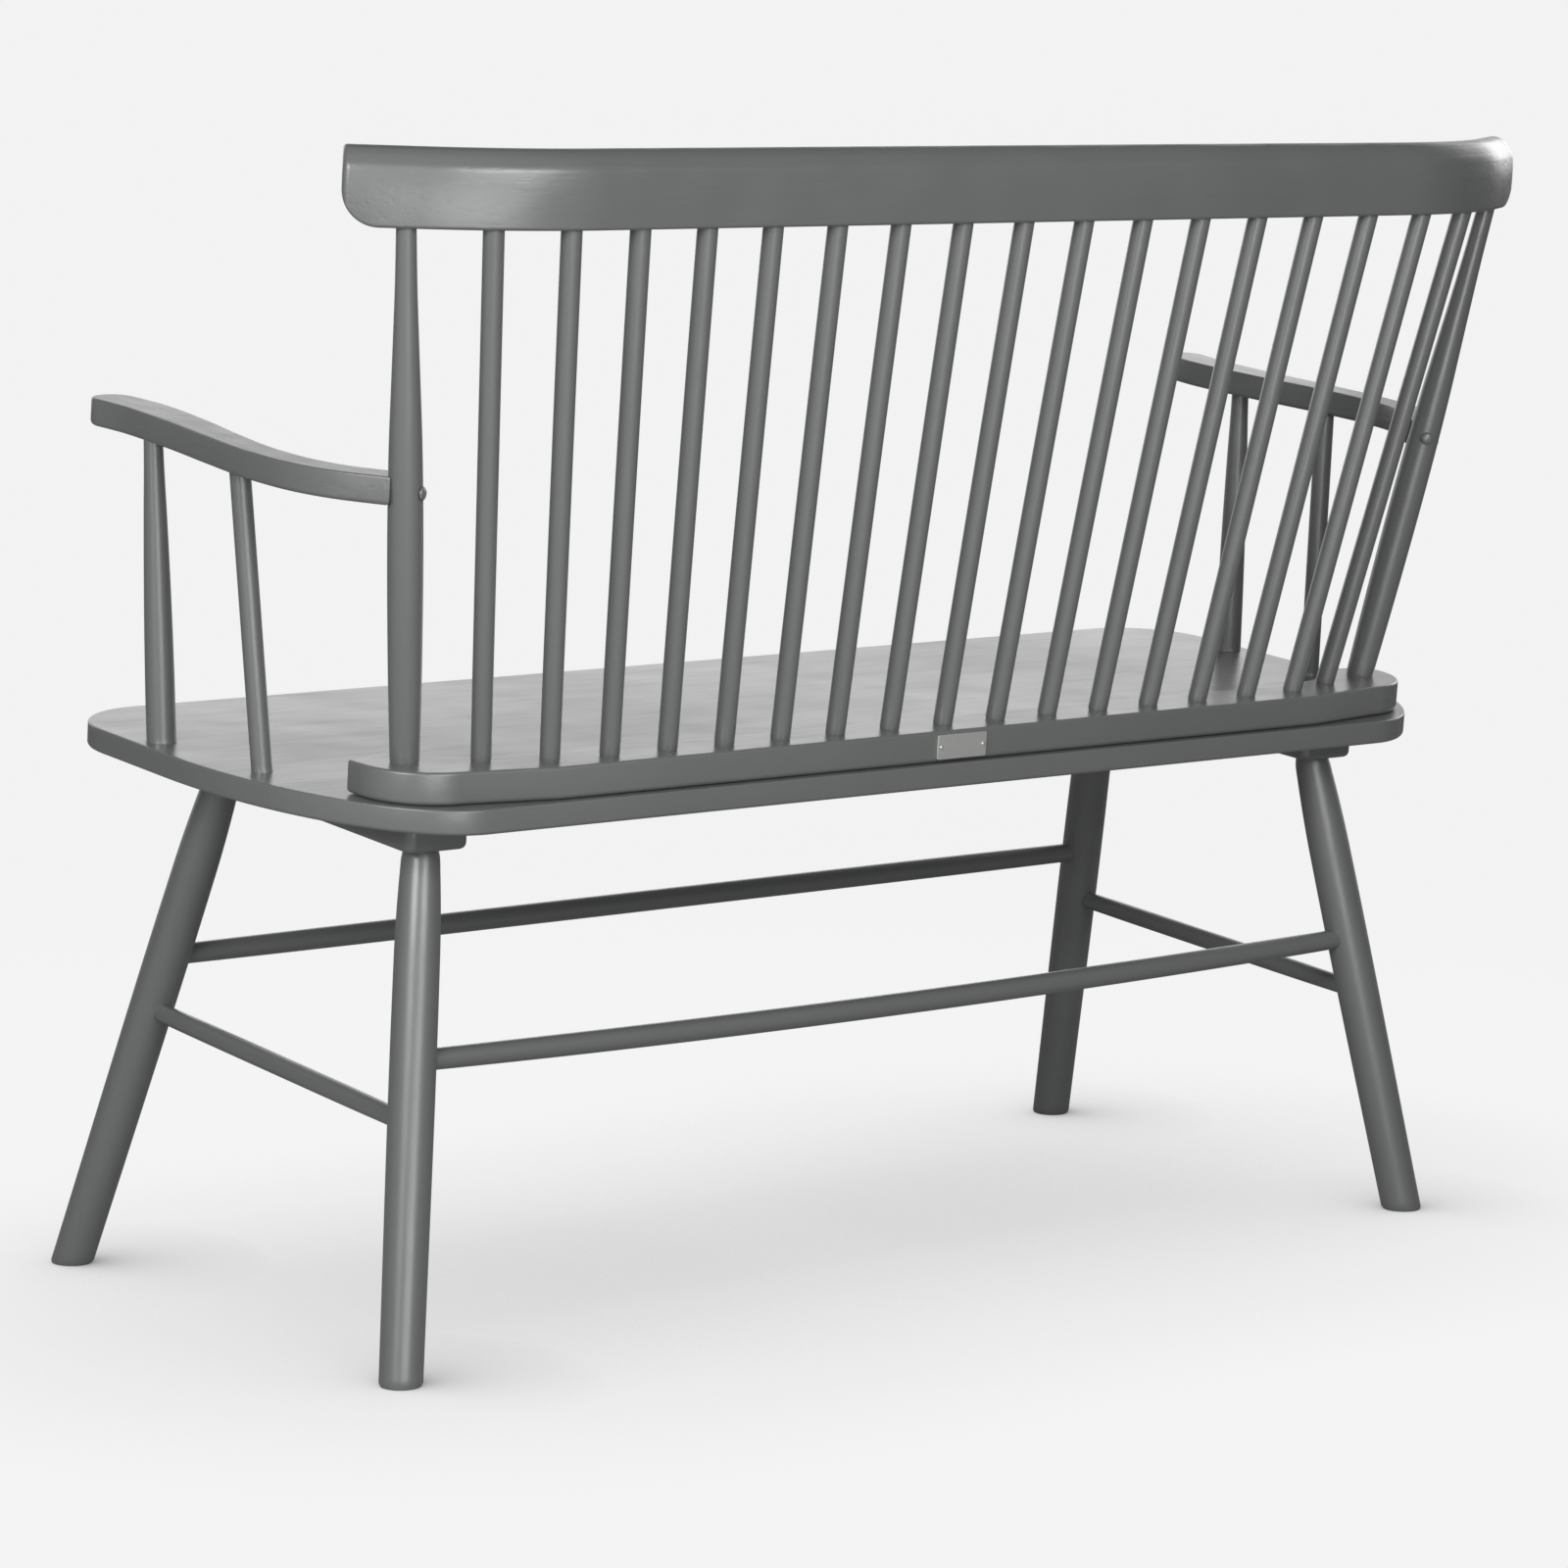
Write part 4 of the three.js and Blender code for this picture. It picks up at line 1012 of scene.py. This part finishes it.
def crest_rings():
    """Sections carried along the bent line, square to it, on the lower face that falls forward. Towards the
    ends the section draws in by the end edges' rounding, its bottom rises by the corners' and its top falls
    by the long edges'."""
    crest = settings("crest")
    half_path = post_paths()[1] + crest.past_post
    bend = np.linspace(crest.straight, half_path - crest.corner, BEND_STEPS, endpoint=False)
    corner = half_path - crest.corner * (1 - np.sin(np.linspace(0, math.pi / 2, CORNER_STEPS)))
    one_side = np.concatenate([bend, corner])
    distances = np.concatenate([-one_side[::-1], one_side])
    xs, ys, headings = crest_line(distances)
    rings = []
    for x, y, heading, distance in zip(xs, ys, headings, distances):
        from_end = half_path - abs(distance)
        edge = corner_inset(crest.edge_round, from_end)
        inward = corner_inset(crest.end_round, from_end)
        bottom = corner_inset(crest.corner, from_end)
        behind, height = crest_section(inward, bottom, crest.width - edge).T
        base = crest_bottom(crest_middle() + y)
        rings.append(np.column_stack([
            x + behind * math.sin(heading),
            crest_middle() + y + behind * math.cos(heading),
            base + height,
        ]))
    return np.stack(rings)


class BENCH_OT_crest_rail(bpy.types.Operator):
    """Make the bent crest rail"""

    bl_idname = "bench.crest_rail"
    bl_label = "Crest rail"

    def execute(self, context):
        add_piece("crest_rail", in_bench(crest_rings(), seat_matrix()), crest_paint())
        return {"FINISHED"}


def add_turned(name, foot, head, shares, diameter, into, bead):
    """A turned upright: its outline follows the shares between foot and head, and runs on straight into a
    socket at both ends. A bead of paint, or for a negative bead a groove, goes round the foot."""
    height = np.linalg.norm(head - foot)
    at = np.append(np.array(BEAD_PLACES) / height, np.linspace(0, 1, ROD_STEPS)[1:])
    radii = curve_through(shares, at) * diameter / 2
    radii[:len(BEAD_SHARES)] += bead * np.array(BEAD_SHARES)
    radii = np.concatenate([[radii[len(BEAD_SHARES)]], radii, radii[-1:]])
    distances = np.concatenate([[0], into + at * height, [2 * into + height]])
    start = foot + (foot - head) / height * into
    rings = turned_rings(start, head, distances, radii)
    add_piece(name, in_bench(rings, seat_matrix()), turned_paint())


class BENCH_OT_back_spindles(bpy.types.Operator):
    """Make the fan of back spindles"""

    bl_idname = "bench.back_spindles"
    bl_label = "Back spindles"

    def execute(self, context):
        uprights = settings("uprights")
        diameter = uprights.spindle_diameter
        for index in range(uprights.spindle_count):
            place = (uprights.spindle_count - 1) / 2 - index
            foot, head = upright_ends(place * uprights.pitch_below, place * uprights.pitch_above)
            name = f"back_spindle_{index + 1:02d}"
            add_turned(name, foot, head, SPINDLE_SHARES, diameter, uprights.socket, PAINT_GROOVE)
        return {"FINISHED"}


class BENCH_OT_end_posts(bpy.types.Operator):
    """Make the two turned end posts"""

    bl_idname = "bench.end_posts"
    bl_label = "End posts"

    def execute(self, context):
        uprights = settings("uprights")
        diameter = uprights.post_diameter
        for side, sign in SIDES:
            foot, head = post_ends(sign)
            name = f"{side}_end_post"
            add_turned(name, foot, head, POST_SHARES, diameter, uprights.socket, PAINT_GROOVE)
        return {"FINISHED"}


def arm_matrix():
    """The arms' underside in the seat's frame: a plane at the arms' height that rises to the front."""
    arms = settings("arms")
    return Matrix.Translation((0, 0, arms.height)) @ Matrix.Rotation(-arms.rise, 4, "X")


def arm_root(sign):
    """The middle of the arm's thickness on its post's axis, and the way the arm leaves the post."""
    arms = settings("arms")
    foot, head = post_ends(sign)
    level = arms.height + arms.thickness / 2
    centre = foot + (head - foot) * (level - foot[2]) / (head[2] - foot[2])
    forward = np.array([sign * math.sin(arms.turn), -math.cos(arms.turn), 0])
    return centre, forward


def arm_outline(sign):
    """Edges at half the width on both sides of a spline, closed by half an ellipse at the nose."""
    arms = settings("arms")
    centre, forward = arm_root(sign)
    start = centre + forward * (settings("uprights").post_diameter / 2 - arms.housing)
    along, bow = np.array(ARM_BOW_SHARES).T
    front_x = settings("seat").width / 2 - arms.front_inset
    points = np.column_stack([
        start[0] + (sign * front_x - start[0]) * along + sign * bow * arms.bow,
        start[1] + (-arms.front_depth - start[1]) * along,
    ])
    middle = spline(points, ARM_LINE_POINTS)
    total = run_along(middle)[-1]
    at = np.append(0, np.linspace(ARM_FIRST_SHARE, 1 - arms.nose / total, ARM_STEPS))
    place = points_at(at * total, middle)
    tangent = np.gradient(place, axis=0)
    tangent /= np.linalg.norm(tangent, axis=1)[:, None]
    aside = np.column_stack([-tangent[:, 1], tangent[:, 0]])
    widen = np.clip((at - ARM_WIDEN_SHARES[0]) / (ARM_WIDEN_SHARES[1] - ARM_WIDEN_SHARES[0]), 0, 1)
    widen = widen**2 * (3 - 2 * widen)
    half = arms.width / 2 * (ARM_WAIST_SHARE + (1 - ARM_WAIST_SHARE) * widen[:, None])
    a = np.linspace(0, math.pi, CORNER_STEPS + 1)[1:-1, None]
    nose = place[-1] + np.cos(a) * half[-1] * aside[-1] + np.sin(a) * arms.nose * tangent[-1]
    return outline_of([place + half * aside, nose, (place - half * aside)[::-1]])


class BENCH_OT_arms(bpy.types.Operator):
    """Make the two arms"""

    bl_idname = "bench.arms"
    bl_label = "Arms"

    def execute(self, context):
        arms = settings("arms")
        place = seat_matrix() @ arm_matrix()
        rounds = (arms.top_round, arms.lower_round)
        for side, sign in SIDES:
            add_board(f"{side}_arm", arm_outline(sign), place, arms.thickness, rounds, arm_paint())
        return {"FINISHED"}


def arm_spindle_size(row, name):
    return getattr(settings("arms"), f"{row}_{name}")


def arm_spindle_end(sign, row, end, height):
    """An arm spindle's foot or head, from its inset and its depth, at a height in the seat's frame."""
    x = settings("seat").width / 2 - arm_spindle_size(row, f"{end}_inset")
    return np.array([sign * x, -arm_spindle_size(row, f"{end}_depth"), height])


class BENCH_OT_arm_spindles(bpy.types.Operator):
    """Make the spindles between the seat and the arms"""

    bl_idname = "bench.arm_spindles"
    bl_label = "Arm spindles"

    def execute(self, context):
        arms = settings("arms")
        for side, sign in SIDES:
            for row, shares in (("front", ARM_SPINDLE_SHARES), ("rear", SPINDLE_SHARES)):
                foot = arm_spindle_end(sign, row, "foot", 0)
                rise = arm_spindle_size(row, "head_depth") * math.tan(arms.rise)
                head = arm_spindle_end(sign, row, "head", arms.height + rise)
                name = f"{side}_{row}_arm_spindle"
                diameter = arm_spindle_size(row, "diameter")
                add_turned(name, foot, head, shares, diameter, arms.tenon, PAINT_BEAD)
        return {"FINISHED"}


def cleat_bottom():
    return -settings("seat").thickness - FIT - settings("legs").cleat_thickness


def cleat_outline():
    """A rectangle with round corners, from beyond the front leg to beyond the rear one."""
    legs = settings("legs")
    front = -settings("seat").depth + legs.front_setback - legs.cleat_overhang
    rear = -legs.rear_setback + legs.cleat_overhang
    return rectangle(legs.cleat_width / 2, front, rear, legs.cleat_corner, SMALL_CORNER_STEPS)


class BENCH_OT_cleats(bpy.types.Operator):
    """Make the cleats under the seat"""

    bl_idname = "bench.cleats"
    bl_label = "Cleats"

    def execute(self, context):
        legs = settings("legs")
        x = settings("seat").width / 2 - legs.cleat_inset
        for side, sign in SIDES:
            place = seat_matrix() @ Matrix.Translation((sign * x, 0, cleat_bottom()))
            rounds = (FIT, legs.cleat_round)
            add_board(f"{side}_cleat", cleat_outline(), place, legs.cleat_thickness, rounds, arm_paint())
        return {"FINISHED"}


def leg_line(sign, to_front):
    """A leg's top under its cleat and its direction down, in the seat's frame."""
    legs = settings("legs")
    seat = settings("seat")
    reach = seat.width / 2 - (legs.front_inset if to_front else legs.rear_inset)
    y = -seat.depth + legs.front_setback if to_front else -legs.rear_setback
    top = np.array([sign * reach, y, cleat_bottom() - FIT])
    end = math.tan(legs.end_splay) * (-1 if to_front else 1)
    return top, np.array([sign * math.tan(legs.side_splay), end, -1])


def leg_radius(below, total):
    """A leg's radius so far below its top: the neck's shares, then a slight taper down to the foot."""
    legs = settings("legs")
    table = [(at * legs.neck, wide) for at, wide in LEG_NECK_SHARES] + [(total, LEG_FOOT_SHARE)]
    return curve_through(table, np.clip(below, 0, total)) * legs.diameter / 2


def leg_rings(sign, to_front):
    """Rings round the leg's axis, whose points stand at shares of the way along it from the level floor to
    the cleat's sloping underside. The lowest ring is drawn in by the foot's chamfer."""
    legs = settings("legs")
    place = seat_matrix()
    top, down = leg_line(sign, to_front)
    below = in_bench(top + down, place)
    top = in_bench(top, place)
    foot = top - (below - top) * top[2] / (below - top)[2]
    total = np.linalg.norm(top - foot)
    axis = (top - foot) / total
    normal = np.array(place.to_3x3())[:, 2]
    circle = circle_about(axis, LEG_SIDES)
    roof = total - leg_radius(0, total) * (circle @ normal) / (axis @ normal)
    floor = -leg_radius(total, total) * circle[:, 2] / axis[2]
    shares_up = np.append([0, 2 * legs.foot_edge / total], LEG_RING_SHARES)
    along = floor + shares_up[:, None] * (roof - floor)
    wide = leg_radius(total - along, total)
    wide[0] -= legs.foot_edge
    along[0] = -wide[0] * circle[:, 2] / axis[2]
    return foot + along[..., None] * axis + wide[..., None] * circle


class BENCH_OT_legs(bpy.types.Operator):
    """Make the four splayed legs"""

    bl_idname = "bench.legs"
    bl_label = "Legs"

    def execute(self, context):
        for side, sign in SIDES:
            for row, to_front in ROWS:
                add_piece(f"{side}_{row}_leg", leg_rings(sign, to_front), turned_paint())
        return {"FINISHED"}


def stretcher_rings(start, end, diameter, end_diameter, sag):
    """A round bar between two legs' axes: its radius eases to the end's with the fourth power of the
    distance from the middle, and it sags by a parabola."""
    legs = settings("legs")
    past = (end - start) / np.linalg.norm(end - start) * (legs.socket - legs.diameter / 2)
    start = start - past
    end = end + past
    from_middle = np.linspace(-1, 1, SAG_STEPS)
    centres = (start + end) / 2 + from_middle[:, None] * (end - start) / 2
    centres[:, 2] -= sag * (1 - from_middle**2)
    radii = (diameter + (end_diameter - diameter) * from_middle**4) / 2
    return round_rings(centres, radii)


def leg_point(sign, to_front, drop):
    """The point on a leg's axis so far below the seat's top, in the seat's frame."""
    top, down = leg_line(sign, to_front)
    return top + down * (drop + top[2])


class BENCH_OT_stretchers(bpy.types.Operator):
    """Make the stretchers between the legs"""

    bl_idname = "bench.stretchers"
    bl_label = "Stretchers"

    def execute(self, context):
        legs = settings("legs")
        for row, to_front in ROWS:
            ends = [leg_point(sign, to_front, legs.long_drop) for _, sign in SIDES]
            sag = 0 if to_front else legs.rear_sag
            rings = stretcher_rings(*ends, legs.long_diameter, legs.long_end, sag)
            add_piece(f"{row}_stretcher", in_bench(rings, seat_matrix()), stretcher_paint())
        for side, sign in SIDES:
            ends = [leg_point(sign, to_front, legs.side_drop) for _, to_front in ROWS]
            rings = stretcher_rings(*ends, legs.side_diameter, legs.side_end, 0)
            add_piece(f"{side}_stretcher", in_bench(rings, seat_matrix()), side_stretcher_paint())
        return {"FINISHED"}


def domed_pin(kind, start, end):
    """A bolt or a pin from under its head towards its end: a shank, and a head that is half an ellipse of
    the dome's height over the head's radius."""
    hardware = settings("hardware")
    sizes = ("diameter", "length", "head", "dome")
    diameter, total, head, dome = [getattr(hardware, f"{kind}_{size}") for size in sizes]
    a = np.linspace(DOME_TIP_ANGLE, math.pi / 2, DOME_STEPS)
    distances = np.concatenate([-dome * np.cos(a), [0, total]])
    radii = np.concatenate([head / 2 * np.sin(a), [diameter / 2, diameter / 2]])
    return turned_rings(start, end, distances, radii, SMALL_SIDES)


class BENCH_OT_arm_bolts(bpy.types.Operator):
    """Make the bolts whose heads show behind the posts"""

    bl_idname = "bench.arm_bolts"
    bl_label = "Arm bolts"

    def execute(self, context):
        for side, sign in SIDES:
            centre, forward = arm_root(sign)
            start = centre - forward * (settings("uprights").post_diameter / 2 + FIT)
            rings = in_bench(domed_pin("bolt", start, centre), seat_matrix())
            add_piece(f"{side}_arm_bolt", rings, bolt_paint())
        return {"FINISHED"}


def plate_place():
    """The plate's frame: X along the rail, Y up the rail's rear face, Z out of it towards the rear."""
    rail = settings("rail")
    upright = Matrix(((-1, 0, 0, 0), (0, 0, 1, 0), (0, 1, 0, 0), (0, 0, 0, 1)))
    return seat_matrix() @ Matrix.Translation((0, -rail.ledge + FIT, FIT + rail.height / 2)) @ upright


def plate_outline():
    """A rectangle with small round corners."""
    hardware = settings("hardware")
    half = hardware.plate_height / 2
    return rectangle(hardware.plate_width / 2, -half, half, hardware.plate_corner, PLATE_CORNER_STEPS)


class BENCH_OT_back_plate(bpy.types.Operator):
    """Make the bare plate on the spindle rail and its pins"""

    bl_idname = "bench.back_plate"
    bl_label = "Back plate"

    def execute(self, context):
        hardware = settings("hardware")
        place = plate_place()
        thickness = hardware.plate_thickness
        rings = board_rings(plate_outline(), thickness, FIT, FIT / 2, hardware.plate_corner / 3)
        add_piece("back_plate", in_bench(rings, place), plate_metal())
        for index, sign in ((1, -1), (2, 1)):
            x = sign * (hardware.plate_width / 2 - hardware.pin_inset)
            rings = domed_pin("pin", np.array([x, 0, thickness + FIT]), np.array([x, 0, 0]))
            add_piece(f"back_plate_pin_{index}", in_bench(rings, place), plate_metal())
        return {"FINISHED"}


class BENCH_OT_hidden_hardware(bpy.types.Operator):
    """Finish the screws, leg bolts and barrel nuts, which keep their packed shapes"""

    bl_idname = "bench.hidden_hardware"
    bl_label = "Screws, bolts and nuts"

    def execute(self, context):
        zinc = zinc_steel()
        for name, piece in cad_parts.items():
            if "screw" in name or "leg_bolt" in name or "barrel_nut" in name:
                piece.data.materials.clear()
                piece.data.materials.append(zinc)
        return {"FINISHED"}


# The studio

def backdrop_light(tree, even, seen, at):
    """A strength that is one value for even light, and another for what the camera and reflections see."""
    rays = node(tree, "ShaderNodeLightPath", at).outputs
    direct = (rays["Is Camera Ray"], rays["Is Glossy Ray"])
    shown = math_node(tree, "MAXIMUM", direct, (at[0] + 200, at[1]))
    shown = math_node(tree, "MAXIMUM", (shown, rays["Is Transmission Ray"]), (at[0] + 400, at[1]))
    return map_range(tree, shown, (at[0] + 600, at[1]), target=(even, seen))


def make_world(studio):
    """The backdrop as the camera and reflections see it, and as a weaker even light on everything."""
    world = bpy.data.worlds.new("Studio")
    world.use_nodes = True
    tree = world.node_tree
    fill(tree, tree.nodes["Background"], {
        "Color": (*studio.backdrop, 1),
        "Strength": backdrop_light(tree, studio.sky, 1, (-900, 0)),
    })
    bpy.context.scene.world = world


def shade_on_floor(tree, shape, depth, at):
    """One, less a depth times the share of the sky that the bench hides from a point on the floor. The
    shape says within which reach and about which direction."""
    reach, towards = shape
    x, y, z = Vector(towards).normalized()
    aim = node(tree, "ShaderNodeCombineXYZ", (at[0] - 200, at[1]), {"X": x, "Y": y, "Z": z})
    around = {"Distance": reach, "Normal": aim.outputs["Vector"]}
    sky = node(tree, "ShaderNodeAmbientOcclusion", at, around, samples=SHADE_SAMPLES).outputs["AO"]
    return math_node(tree, "MULTIPLY_ADD", (sky, depth, 1 - depth), (at[0] + 200, at[1]))


def floor_material(studio):
    """A grey matt floor that the camera sees pale, with the bench's soft shadow. Its tone passes into the
    backdrop's with the distance from the bench."""
    made, tree, shader = start_material("Studio floor")
    fill(tree, shader, {"Base Color": (*studio.floor, 1), "Roughness": 0.9, "Specular IOR Level": 0.1})
    place = {0: object_place(tree, (-1100, 300))}
    away = node(tree, "ShaderNodeVectorMath", (-900, 300), place, operation="LENGTH").outputs["Value"]
    fade = map_range(tree, away, (-700, 300), source=FLOOR_FADE, kind="SMOOTHSTEP")
    tone = mix_colours(tree, fade, studio.floor_seen, studio.backdrop, (-500, 300))
    under = shade_on_floor(tree, WIDE_SHADE, studio.floor_shadow, (-900, -100))
    beside = shade_on_floor(tree, FOOT_SHADE, studio.foot_shadow, (-900, -400))
    shade = math_node(tree, "MULTIPLY", (under, beside), (-400, -200))
    pale = node(tree, "ShaderNodeEmission", (0, -300), {"Color": tone, "Strength": shade})
    shown = node(tree, "ShaderNodeMixShader", (300, 0), {
        "Fac": node(tree, "ShaderNodeLightPath", (0, 400)).outputs["Is Camera Ray"],
        1: shader.outputs["BSDF"],
        2: pale.outputs["Emission"],
    })
    fill(tree, tree.nodes["Material Output"], {"Surface": shown.outputs["Shader"]})
    return made


def room_material(studio):
    """A dim even glow."""
    made, tree, _ = start_material("Dim room")
    glow = node(tree, "ShaderNodeEmission", (0, -200), {"Color": (*studio.room, 1)})
    fill(tree, tree.nodes["Material Output"], {"Surface": glow.outputs["Emission"]})
    return made


def level_circle(radius, a, height):
    """Points at a height round Z: radius times (cos a, sin a)."""
    return np.column_stack([radius * np.cos(a), radius * np.sin(a), np.full(len(a), height)])


def add_set_piece(name, points, faces, material, **visible):
    """A piece of the studio, which isn't part of the bench."""
    mesh = bpy.data.meshes.new(name)
    mesh.from_pydata(points.tolist(), [], faces)
    mesh.materials.append(material)
    piece = add_object(name, mesh)
    for to_what, value in visible.items():
        setattr(piece, "visible_" + to_what, value)


def make_floor(studio):
    """A round floor, one flat face."""
    a = np.linspace(0, 2 * math.pi, FLOOR_SIDES, endpoint=False)
    circle = level_circle(FLOOR_RADIUS, a, 0)
    add_set_piece("studio_floor", circle, [list(range(FLOOR_SIDES))], floor_material(studio))


def make_room(studio):
    """Dim walls round the camera's side of the set, and a ceiling over it. Only reflections see them, past
    a bright opening behind the bench."""
    behind = studio.camera_azimuth + math.pi / 2
    a = np.linspace(behind + ROOM_OPENING, behind + 2 * math.pi - ROOM_OPENING, ROOM_SIDES + 1)
    rim = np.linspace(0, 2 * math.pi, ROOM_SIDES, endpoint=False)
    points = np.vstack([
        level_circle(ROOM_RADIUS, a, 0),
        level_circle(ROOM_RADIUS, a, ROOM_HEIGHT),
        level_circle(ROOM_RADIUS, rim, ROOM_HEIGHT),
    ])
    below = np.arange(ROOM_SIDES)
    above = below + len(a)
    walls = np.column_stack([below, above, above + 1, below + 1]).tolist()
    ceiling = (below + 2 * len(a)).tolist()
    look = {"camera": False, "diffuse": False, "shadow": False}
    add_set_piece("studio_room", points, walls + [ceiling], room_material(studio), **look)


def make_lamp(name, place, target, size, watts, in_reflections):
    """A soft oblong lamp that looks from its place to its target."""
    lamp = bpy.data.lights.new(name, "AREA")
    lamp.shape = "RECTANGLE"
    lamp.size, lamp.size_y = size
    lamp.energy = watts
    holder = add_object(name, lamp)
    holder.location = place
    holder.rotation_euler = (Vector(target) - Vector(place)).to_track_quat("-Z", "Y").to_euler()
    holder.visible_camera = False
    holder.visible_glossy = in_reflections


def camera_turn(studio):
    """The camera's axes: back towards it from its azimuth and elevation, right and up, then rolled."""
    a = studio.camera_azimuth
    e = studio.camera_elevation
    back = Vector((math.sin(a) * math.cos(e), -math.cos(a) * math.cos(e), math.sin(e)))
    right = (-back).cross(Vector((0, 0, 1))).normalized()
    up = right.cross(-back)
    roll = studio.camera_roll
    rolled_right = right * math.cos(roll) + up * math.sin(roll)
    rolled_up = up * math.cos(roll) - right * math.sin(roll)
    return Matrix((rolled_right, rolled_up, back)).transposed()


def make_camera(studio):
    lens = bpy.data.cameras.new("studio_camera")
    lens.lens = studio.focal
    lens.sensor_width = SENSOR_WIDTH
    lens.shift_x, lens.shift_y = studio.camera_shift
    lens.clip_end = CLIP_END
    camera = add_object("studio_camera", lens)
    camera.matrix_world = Matrix.Translation(studio.camera_place) @ camera_turn(studio).to_4x4()
    bpy.context.scene.camera = camera


class BENCH_OT_stage(bpy.types.Operator):
    """Set up the camera, the lamps, the floor and the backdrop"""

    bl_idname = "bench.stage"
    bl_label = "Studio"

    def execute(self, context):
        studio = settings("studio")
        bpy.context.scene.view_settings.view_transform = "Standard"
        make_camera(studio)
        make_world(studio)
        make_floor(studio)
        make_room(studio)
        for name, (place, target, size, in_reflections) in LAMPS.items():
            watts = getattr(studio, name + "_power")
            make_lamp(name + "_lamp", place, target, size, watts, in_reflections)
        return {"FINISHED"}


OPERATORS = (
    BENCH_OT_seat,
    BENCH_OT_spindle_rail,
    BENCH_OT_crest_rail,
    BENCH_OT_back_spindles,
    BENCH_OT_end_posts,
    BENCH_OT_arms,
    BENCH_OT_arm_spindles,
    BENCH_OT_cleats,
    BENCH_OT_legs,
    BENCH_OT_stretchers,
    BENCH_OT_arm_bolts,
    BENCH_OT_back_plate,
    BENCH_OT_hidden_hardware,
    BENCH_OT_stage,
)


class BENCH_PT_panel(bpy.types.Panel):
    """Sizes, colours and the pieces of the bench"""

    bl_idname = "BENCH_PT_panel"
    bl_label = "Deacons bench"
    bl_space_type = "VIEW_3D"
    bl_region_type = "UI"
    bl_category = "Bench"

    def draw(self, context):
        for operator in OPERATORS:
            self.layout.operator(operator.bl_idname)
        for attribute, group in GROUPS.items():
            box = self.layout.box()
            box.label(text=group.__doc__)
            for name in group.__annotations__:
                box.prop(getattr(context.scene, attribute), name)


CLASSES = (*GROUPS.values(), *OPERATORS, BENCH_PT_panel)


def register():
    for item in CLASSES:
        bpy.utils.register_class(item)
    for attribute, group in GROUPS.items():
        setattr(bpy.types.Scene, attribute, bpy.props.PointerProperty(type=group))


def unregister():
    for attribute in GROUPS:
        delattr(bpy.types.Scene, attribute)
    for item in reversed(CLASSES):
        bpy.utils.unregister_class(item)


def main():
    register()
    for operator in OPERATORS:
        group, name = operator.bl_idname.split(".")
        getattr(getattr(bpy.ops, group), name)()


if __name__ == "__main__":
    main()
